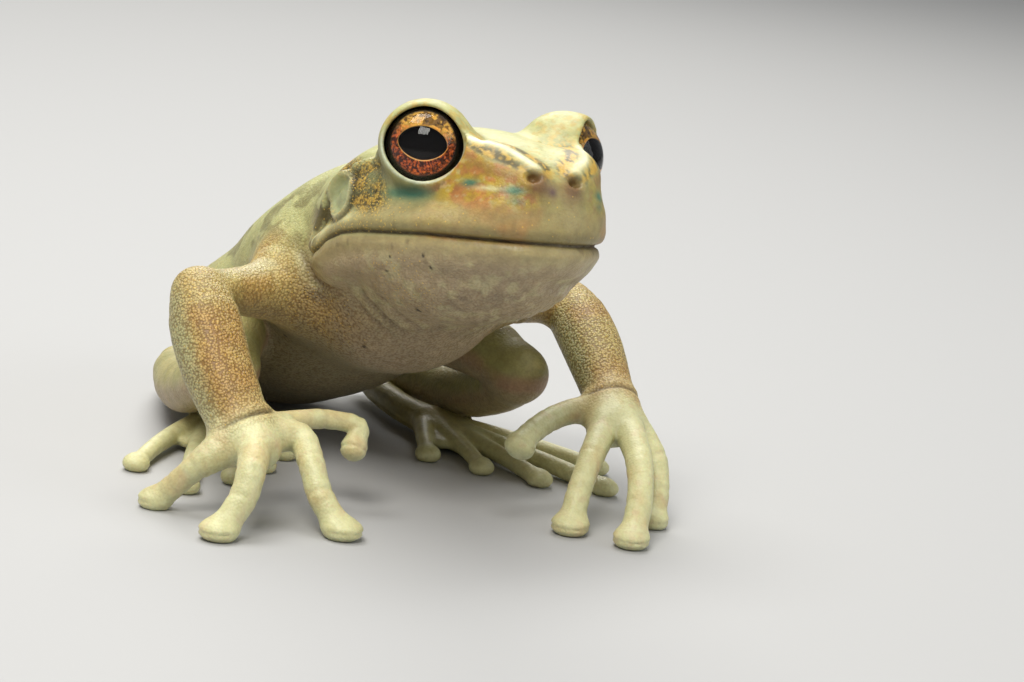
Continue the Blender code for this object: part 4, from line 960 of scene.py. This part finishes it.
            # painted shade in the fold, painted highlight on the ridges beside it
            C[box] = mix(C[box], DARK * 1.6, bell(t, 0.28) * deep * 2.4 * fade)
            C[box] = mix(C[box], CANTHAL * 0.9, bell(t - 0.7, 0.35) * deep * 1.0 * fade)
    breast = bell(dist(q, np.array(BREAST)), 3.2)
    C = mix(C, ARM_C * 1.05, breast * step01(n1, 0.3, 0.6) * 0.75)
    for c, r in (((-3.4, -14.5, 16.4), 0.30), ((-5.2, -18.5, 21.6), 0.17), ((-6.7, -15.7, 20.8), 0.13), ((-6.5, -14.9, 19.5), 0.12), ((-7.2, 2.7, 10.2), 0.22),
                 ((-4.1, -6.5, 11.6), 0.18), ((-0.5, -12.7, 15.1), 0.15), ((-7.2, -3.7, 12.3), 0.13), ((-4.6, -18.8, 20.7), 0.14), ((3.1, -14.0, 16.0), 0.16), ((5.2, -16.5, 19.0), 0.13)):
        r_ = dist(P, np.array(c)) * (0.85 + 0.4 * n3)
        C = mix(C, DARK * 0.45, 1 - step01(r_, 0.75 * r, 1.25 * r))

    fw = W['fore_r'] + W['fore_l']
    aw = W['arm_r'] + W['arm_l']
    hw = W['hand_r'] + W['hand_l']
    gran = 0.95 * fw + 0.6 * aw + 0.12 * hw + W['trunk'] * (0.22 + 0.5 * step01(-up, -0.2, 0.3)) + W['head'] * (0.07 + 0.60 * temple * (0.35 + 0.65 * lump) + 0.28 * step01(-x, 0.6, 3.0) + 0.25 * step01(-x, 3.0, 6.0))
    gran = gran + 0.55 * breast + 0.4 * sum(W[p + k] for p in ('thigh_', 'shank_') for k in 'rl') * (0.6 + 0.4 * step01(-up, 0, 0.4)) + 0.12 * sum(W['foot_' + k] for k in 'rl')
    gold = W['head'] * step01(x, -0.2, 0.3) * (0.03 + 0.80 * temple * (0.15 + 0.85 * lump) + 0.05 * below * step01(-u, 0.0, 3.0) + 0.30 * lip * step01(-f, -2.5, 1.5)) + 0.04 * W['trunk'] + 0.16 * fw + 0.12 * aw
    gold = gold + 0.30 * bell(dist(q, np.array((-5.7, -15.5, 18.7))), 3.4) + 0.25 * breast
    gran, gold = gran * (1 - 0.9 * drum), gold * (1 - drum)
    return C, np.clip(gran, 0, 1), np.clip(gold, 0, 1)


# ---------------------------------------------------------------- shaders
def nodes_of(name):
    ma = bpy.data.materials.new(name)
    ma.use_nodes = True
    return ma, ma.node_tree, ma.node_tree.nodes['Principled BSDF']


def node(nt, kind, **values):
    nd = nt.nodes.new(kind)
    for k, v in values.items():
        setattr(nd, k, v)
    return nd


def ramp(nt, source, stops):
    r = nt.nodes.new('ShaderNodeValToRGB')
    while len(r.color_ramp.elements) < len(stops):
        r.color_ramp.elements.new(0.5)
    for e, (p, v) in zip(r.color_ramp.elements, stops):
        e.position = p
        e.color = (v, v, v, 1) if not hasattr(v, '__len__') else (*v, 1)
    nt.links.new(source, r.inputs['Fac'])
    return r.outputs['Color']


def math_(nt, op, a, b=None):
    m = node(nt, 'ShaderNodeMath', operation=op)
    for i, v in enumerate((a, b)):
        if v is None:
            continue
        if isinstance(v, (int, float)):
            m.inputs[i].default_value = v
        else:
            nt.links.new(v, m.inputs[i])
    return m.outputs[0]


def skin_material():
    ma, nt, p = nodes_of('frog_skin')
    tc = node(nt, 'ShaderNodeTexCoord').outputs['Object']
    col = node(nt, 'ShaderNodeAttribute', attribute_name='col').outputs['Color']
    gran = node(nt, 'ShaderNodeAttribute', attribute_name='gran').outputs['Fac']
    gold = node(nt, 'ShaderNodeAttribute', attribute_name='gold').outputs['Fac']

    def voronoi(scale, feature='F1', rand=1.0):
        v = node(nt, 'ShaderNodeTexVoronoi', feature=feature)
        nt.links.new(tc, v.inputs['Vector'])
        v.inputs['Scale'].default_value = scale
        v.inputs['Randomness'].default_value = rand
        return v

    def noise_(scale, detail=2.0):
        v = node(nt, 'ShaderNodeTexNoise')
        nt.links.new(tc, v.inputs['Vector'])
        v.inputs['Scale'].default_value = scale
        v.inputs['Detail'].default_value = detail
        return v.outputs['Fac']
    grains = voronoi(4700.0)
    fine = voronoi(7200.0)
    cell = ramp(nt, grains.outputs['Distance'], ((0.0, 1.0), (0.42, 0.72), (0.72, 0.0)))
    # gold granules: some of the fine cells, where the gold mask is high
    pick = node(nt, 'ShaderNodeSeparateColor')
    nt.links.new(fine.outputs['Color'], pick.inputs[0])
    some = math_(nt, 'GREATER_THAN', math_(nt, 'ADD', pick.outputs[0], math_(nt, 'MULTIPLY', gold, 0.55)), 1.03)
    dot = ramp(nt, fine.outputs['Distance'], ((0.0, 1.0), (0.38, 0.9), (0.55, 0.0)))
    fleck = math_(nt, 'MULTIPLY', math_(nt, 'MULTIPLY', some, dot), 0.6)
    # painted shade: the furrows between the granules are darkened
    furrow_shade = math_(nt, 'MULTIPLY', math_(nt, 'SUBTRACT', 1.0, cell), math_(nt, 'MULTIPLY', gran, 0.78))
    dark = node(nt, 'ShaderNodeMix', data_type='RGBA', blend_type='MULTIPLY')
    nt.links.new(furrow_shade, dark.inputs['Factor'])
    nt.links.new(col, dark.inputs[6])
    dark.inputs[7].default_value = (0.34, 0.24, 0.13, 1)
    tone = node(nt, 'ShaderNodeMix', data_type='RGBA', blend_type='OVERLAY')
    tone.inputs['Factor'].default_value = 0.28
    nt.links.new(dark.outputs[2], tone.inputs[6])
    nt.links.new(ramp(nt, noise_(1500.0, 3.0), ((0.3, 0.3), (0.7, 0.7))), tone.inputs[7])
    gilt = node(nt, 'ShaderNodeMix', data_type='RGBA')
    nt.links.new(fleck, gilt.inputs['Factor'])
    nt.links.new(tone.outputs[2], gilt.inputs[6])
    gilt.inputs[7].default_value = (*lin(0.90, 0.74, 0.32), 1)
    nt.links.new(gilt.outputs[2], p.inputs['Base Color'])
    # relief: granules, then the finest wrinkles
    relief = math_(nt, 'MULTIPLY', cell, math_(nt, 'ADD', math_(nt, 'MULTIPLY', gran, 1.0), 0.05))
    b1 = node(nt, 'ShaderNodeBump')
    b1.inputs['Strength'].default_value = 0.85
    b1.inputs['Distance'].default_value = 0.00012
    nt.links.new(relief, b1.inputs['Height'])
    b2 = node(nt, 'ShaderNodeBump')
    b2.inputs['Strength'].default_value = 0.5
    b2.inputs['Distance'].default_value = 0.00004
    nt.links.new(noise_(5200.0, 3.0), b2.inputs['Height'])
    nt.links.new(b1.outputs[0], b2.inputs['Normal'])
    nt.links.new(b2.outputs[0], p.inputs['Normal'])
    rough = math_(nt, 'ADD', math_(nt, 'MULTIPLY', noise_(900.0, 2.0), 0.25), 0.36)
    nt.links.new(rough, p.inputs['Roughness'])
    p.inputs['Subsurface Weight'].default_value = 0.16
    p.inputs['Subsurface Radius'].default_value = (1.0, 0.55, 0.25)
    p.inputs['Subsurface Scale'].default_value = 0.0009
    p.inputs['Specular IOR Level'].default_value = 0.5
    p.inputs['Coat Weight'].default_value = 0.10
    p.inputs['Coat Roughness'].default_value = 0.30
    return ma


# ---------------------------------------------------------------- the skin
LO, HI = np.array((-25.0, -26.5, -1.0)), np.array((23.5, 30.5, 35.0))
grid_, tried_ = sampled(flesh, LO, HI, H)
P_, Q_ = surface(grid_, LO, H)
del grid_
P_ = settle_on(flesh, P_, 2, 0.5 * H)
P_[:, 2] = np.where(P_[:, 2] < 0.02, 0.0, P_[:, 2])
skin = mesh_object('skin', P_, Q_)
print('skin', len(P_), 'points', tried_, 'tried')
N_ = np.empty(len(skin.data.vertices) * 3, np.float32)
skin.data.vertices.foreach_get('normal', N_)
N_ = N_.reshape(-1, 3).astype(float)
co_ = np.empty(len(skin.data.vertices) * 3, np.float32)
skin.data.vertices.foreach_get('co', co_)
Pv = co_.reshape(-1, 3).astype(float) / M_ + np.array(ORIGIN)
C_, G_, A_ = skin_colours(Pv, N_)
paint(skin, 'col', C_)
paint(skin, 'gran', G_)
paint(skin, 'gold', A_)
skin.data.materials.append(skin_material())
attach(skin, 'root')
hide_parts(*[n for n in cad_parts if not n.startswith('eye_')])


# ---------------------------------------------------------------- the eyes
PUPIL_T, PUPIL_V, IRIS_R = 1.76, 1.16, 2.42


def eye_inside(k):
    """Pupil, iris and the dark ball behind them, as one closed body."""
    c, rows = EYES[k]
    turns = 300
    ph = np.arange(turns) * 2 * np.pi / turns
    ct, sn = np.cos(ph), np.sin(ph)
    pe = 1.0 / (np.abs(ct / PUPIL_T) ** 1.8 + np.abs(sn / PUPIL_V) ** 1.8) ** (1 / 1.8)
    rings = []

    def ring(rho, w):
        rings.append(np.stack([rho * ct, rho * sn, np.broadcast_to(w, rho.shape)], 1))
    for t in np.linspace(0.12, 1.0, 6):
        ring(pe * t * 0.97, np.full(turns, 1.25))
    ring(pe * 0.985, np.full(turns, 1.75))
    ring(pe, np.full(turns, 1.93))
    wob = 0.02 * np.sin(ph * 23) + 0.015 * np.sin(ph * 41 + 1)
    for t in np.linspace(0.02, 1.0, 44):
        rho = pe + (IRIS_R - pe) * t
        w = 1.97 - 0.30 * t ** 1.6 + 0.05 * np.sin(np.pi * min(t * 5, 1.0)) + wob * np.sin(np.pi * t)
        ring(rho, w)
    R = EYE_R - 0.10
    start = math.asin((IRIS_R + 0.10) / R)
    for a in np.linspace(start, math.pi - 0.05, 26):
        ring(np.full(turns, R * math.sin(a)), np.full(turns, R * math.cos(a)))
    V = np.concatenate(rings)
    m = len(rings)
    i, j = np.meshgrid(np.arange(m - 1), np.arange(turns), indexing='ij')
    jn = (j + 1) % turns
    faces = np.stack([i * turns + j, (i + 1) * turns + j, (i + 1) * turns + jn, i * turns + jn], -1).reshape(-1, 4)
    V = np.concatenate([V, [(0, 0, 1.25), (0, 0, -R)]])
    cap = []
    for a in range(turns):
        b = (a + 1) % turns
        cap.append((len(V) - 2, a, b, b))
        cap.append((len(V) - 1, (m - 1) * turns + b, (m - 1) * turns + a, (m - 1) * turns + a))
    me = bpy.data.meshes.new('iris_' + k)
    world = (V @ rows + c - np.array(ORIGIN)) * M_
    if np.linalg.det(rows) < 0:
        faces = faces[:, ::-1]
        cap = [(p[0], p[2], p[1], p[1]) for p in cap]
    me.from_pydata(world.tolist(), [], faces.tolist() + [list(p[:3]) for p in cap])
    me.validate()
    me.shade_smooth()
    ob = bpy.data.objects.new('iris_' + k, me)
    bpy.context.scene.collection.objects.link(ob)
    # colours
    t, v, w = V.T
    rho = np.hypot(t, v)
    ang = np.arctan2(v, t)
    edge = 1.0 / (np.abs(np.cos(ang) / PUPIL_T) ** 1.8 + np.abs(np.sin(ang) / PUPIL_V) ** 1.8) ** (1 / 1.8)
    x = np.clip((rho - edge) / (IRIS_R - edge), 0, 1)
    streak_at = np.stack([np.cos(ang) * 4.2, np.sin(ang) * 4.2, x * 2.6], 1)
    streak = 0.55 * fractal(streak_at, 0.26, 51, 3) + 0.45 * fractal(V, 0.20, 54, 3)
    blot = fractal(V, 0.5, 52, 3)
    top = step01(v, 0.2, 1.5)
    copper = mix(lin(0.62, 0.27, 0.07)[None] * np.ones((len(V), 1)), lin(0.20, 0.055, 0.015), step01(streak, 0.45, 0.56))
    copper = mix(copper, lin(0.78, 0.40, 0.10), step01(0.44 - streak, 0.0, 0.10) * 0.8)
    gold_ = mix(lin(0.86, 0.68, 0.26)[None] * np.ones((len(V), 1)), lin(0.26, 0.14, 0.04), step01(blot, 0.52, 0.60) * 0.85)
    C = mix(copper, gold_, np.clip(top * (0.75 + 1.2 * (blot - 0.45)), 0, 1))
    C = mix(C, lin(0.10, 0.03, 0.02), step01(fractal(V, 0.22, 53, 2), 0.60, 0.70) * 0.7)
    C = mix(C, lin(0.82, 0.62, 0.30), bell(x - 0.045, 0.035) * 0.8)
    C = mix(C, lin(0.05, 0.015, 0.01), step01(x, 0.82, 0.97))
    C = mix(C, lin(0.0, 0.0, 0.0) + 0.001, (rho < edge * 1.001) * 1.0)
    C = mix(C, lin(0.02, 0.015, 0.015), (rho > IRIS_R + 0.02) * 1.0)
    C = mix(C, lin(0.02, 0.015, 0.015), (w < 1.2) * 1.0)
    paint(ob, 'col', C)
    # the pupil's pit and the dark ring take the black material
    ob.data.materials.append(IRIS_M)
    ob.data.materials.append(BLACK_M)
    k0, k1 = 7 * turns, (7 + 44) * turns
    for f_ in me.polygons:
        i0 = min(f_.vertices)
        f_.material_index = 0 if k0 - turns <= i0 < k1 - turns else 1
    return ob


def iris_material():
    ma, nt, p = nodes_of('frog_iris')
    nt.links.new(node(nt, 'ShaderNodeAttribute', attribute_name='col').outputs['Color'], p.inputs['Base Color'])
    p.inputs['Roughness'].default_value = 0.5
    p.inputs['Metallic'].default_value = 0.0
    p.inputs['Specular IOR Level'].default_value = 0.2
    tc = node(nt, 'ShaderNodeTexCoord').outputs['Object']
    nz = node(nt, 'ShaderNodeTexNoise')
    nt.links.new(tc, nz.inputs['Vector'])
    nz.inputs['Scale'].default_value = 6000.0
    nz.inputs['Detail'].default_value = 4.0
    b = node(nt, 'ShaderNodeBump')
    b.inputs['Strength'].default_value = 0.5
    b.inputs['Distance'].default_value = 0.00004
    nt.links.new(nz.outputs['Fac'], b.inputs['Height'])
    nt.links.new(b.outputs[0], p.inputs['Normal'])
    return ma


def black_material():
    ma, nt, p = nodes_of('frog_eye_black')
    p.inputs['Base Color'].default_value = (0.0025, 0.002, 0.002, 1)
    p.inputs['Roughness'].default_value = 0.6
    p.inputs['Specular IOR Level'].default_value = 0.02
    return ma


def cornea_material():
    ma, nt, p = nodes_of('frog_cornea')
    p.inputs['Base Color'].default_value = (1, 1, 1, 1)
    p.inputs['Transmission Weight'].default_value = 1.0
    p.inputs['IOR'].default_value = 1.34
    p.inputs['Specular IOR Level'].default_value = 0.4
    p.inputs['Roughness'].default_value = 0.0
    return ma


def cornea(k):
    c, rows = EYES[k]
    rings, turns = 48, 96
    V, F = [(0, 0, EYE_R)], []
    for i in range(1, rings):
        a = math.pi * i / rings
        for j in range(turns):
            b = 2 * math.pi * j / turns
            V.append((EYE_R * math.sin(a) * math.cos(b), EYE_R * math.sin(a) * math.sin(b), EYE_R * math.cos(a)))
    V.append((0, 0, -EYE_R))
    for j in range(turns):
        F.append((0, 1 + j, 1 + (j + 1) % turns))
        F.append((len(V) - 1, 1 + (rings - 2) * turns + (j + 1) % turns, 1 + (rings - 2) * turns + j))
        for i in range(rings - 2):
            p = 1 + i * turns
            F.append((p + j, p + turns + j, p + turns + (j + 1) % turns, p + (j + 1) % turns))
    V = np.array(V)
    # the clear front bulges a touch over the iris
    front = step01(V[:, 2], 1.0, 2.6)
    V = V * (1 + 0.012 * front)[:, None]
    world = (V @ rows + c - np.array(ORIGIN)) * M_
    if np.linalg.det(rows) < 0:
        F = [tuple(reversed(f_)) for f_ in F]
    me = bpy.data.meshes.new('cornea_' + k)
    me.from_pydata(world.tolist(), [], F)
    me.shade_smooth()
    ob = bpy.data.objects.new('cornea_' + k, me)
    bpy.context.scene.collection.objects.link(ob)
    ob.visible_shadow = False
    return ob


IRIS_M, CORNEA_M, BLACK_M = iris_material(), cornea_material(), black_material()
for k_ in 'rl':
    for ob_, ma_ in ((eye_inside(k_), None), (cornea(k_), CORNEA_M)):
        if ma_:
            ob_.data.materials.append(ma_)
        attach(ob_, 'root')
        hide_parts('eye_' + k_)


# ---------------------------------------------------------------- studio
def area(name, at, to, size, power, colour=(1, 1, 1)):
    li = bpy.data.lights.new(name, 'AREA')
    li.shape = 'RECTANGLE'
    li.size, li.size_y = size
    li.energy = power
    li.color = colour
    ob = bpy.data.objects.new(name, li)
    at, to = Vector(at), Vector(to)
    ob.location = at
    ob.rotation_euler = (to - at).to_track_quat('-Z', 'Y').to_euler()
    bpy.context.scene.collection.objects.link(ob)
    return ob


me_ = bpy.data.meshes.new('floor')
me_.from_pydata([(-3, -3, -0.00003), (3, -3, -0.00003), (3, 3, -0.00003), (-3, 3, -0.00003)], [], [(0, 1, 2, 3)])
floor = bpy.data.objects.new('floor', me_)
bpy.context.scene.collection.objects.link(floor)
ma_, nt_, p_ = nodes_of('floor')
p_.inputs['Base Color'].default_value = (0.44, 0.44, 0.435, 1)
p_.inputs['Roughness'].default_value = 0.75
me_.materials.append(ma_)

world = bpy.data.worlds.new('studio')
bpy.context.scene.world = world
world.use_nodes = True
world.node_tree.nodes['Background'].inputs['Color'].default_value = (0.86, 0.88, 0.90, 1)
world.node_tree.nodes['Background'].inputs['Strength'].default_value = 0.30
area('key', (-0.18, -0.22, 0.36), (0, -0.012, 0.02), (0.20, 0.16), 1.25, (1.0, 0.97, 0.92))
area('fill', (0.32, -0.25, 0.20), (0, 0, 0.02), (0.30, 0.30), 0.42, (0.94, 0.97, 1.0))
area('top', (-0.03, 0.09, 0.33), (0, -0.01, 0.02), (0.36, 0.15), 1.1, (1.0, 0.99, 0.97))
area('back', (0.10, 0.34, 0.24), (0, 0, 0.02), (0.24, 0.16), 0.6, (1.0, 0.98, 0.94))

# ---------------------------------------------------------------- camera
# 1024 x 682 image; 0.075 mm per pixel at 260 mm; the right eye at pixel (422, 142)
AZ, EL, ROLL, PX_MM, FAR_MM = -25.0, 12.0, 7.0, 0.075, 260.0
a_, e_, r_ = rad(AZ), rad(EL), rad(ROLL)
back_ = np.array((math.sin(a_) * math.cos(e_), -math.cos(a_) * math.cos(e_), math.sin(e_)))
right_ = np.array((math.cos(a_), math.sin(a_), 0.0))
up_ = np.cross(back_, right_)
R_, U_ = right_ * math.cos(r_) + up_ * math.sin(r_), -right_ * math.sin(r_) + up_ * math.cos(r_)
eye_at = hp(-6.5, 0, 0)
at_ = eye_at - (R_ * (423 - 512) * PX_MM - U_ * (142.5 - 341) * PX_MM - back_ * FAR_MM)
cam = bpy.data.cameras.new('camera')
cam.sensor_fit = 'HORIZONTAL'
cam.sensor_width = 36.0
cam.lens = 36.0 * FAR_MM / (1024 * PX_MM)
cam.clip_start = 0.01
cam.clip_end = 20.0
camera = bpy.data.objects.new('camera', cam)
m_ = Matrix.Identity(4)
where_ = (at_ - np.array(ORIGIN)) * M_
for i_ in range(3):
    m_[i_][0], m_[i_][1], m_[i_][2], m_[i_][3] = R_[i_], U_[i_], back_[i_], where_[i_]
camera.matrix_world = m_
bpy.context.scene.collection.objects.link(camera)
bpy.context.scene.camera = camera
bpy.context.scene.view_settings.view_transform = 'Standard'
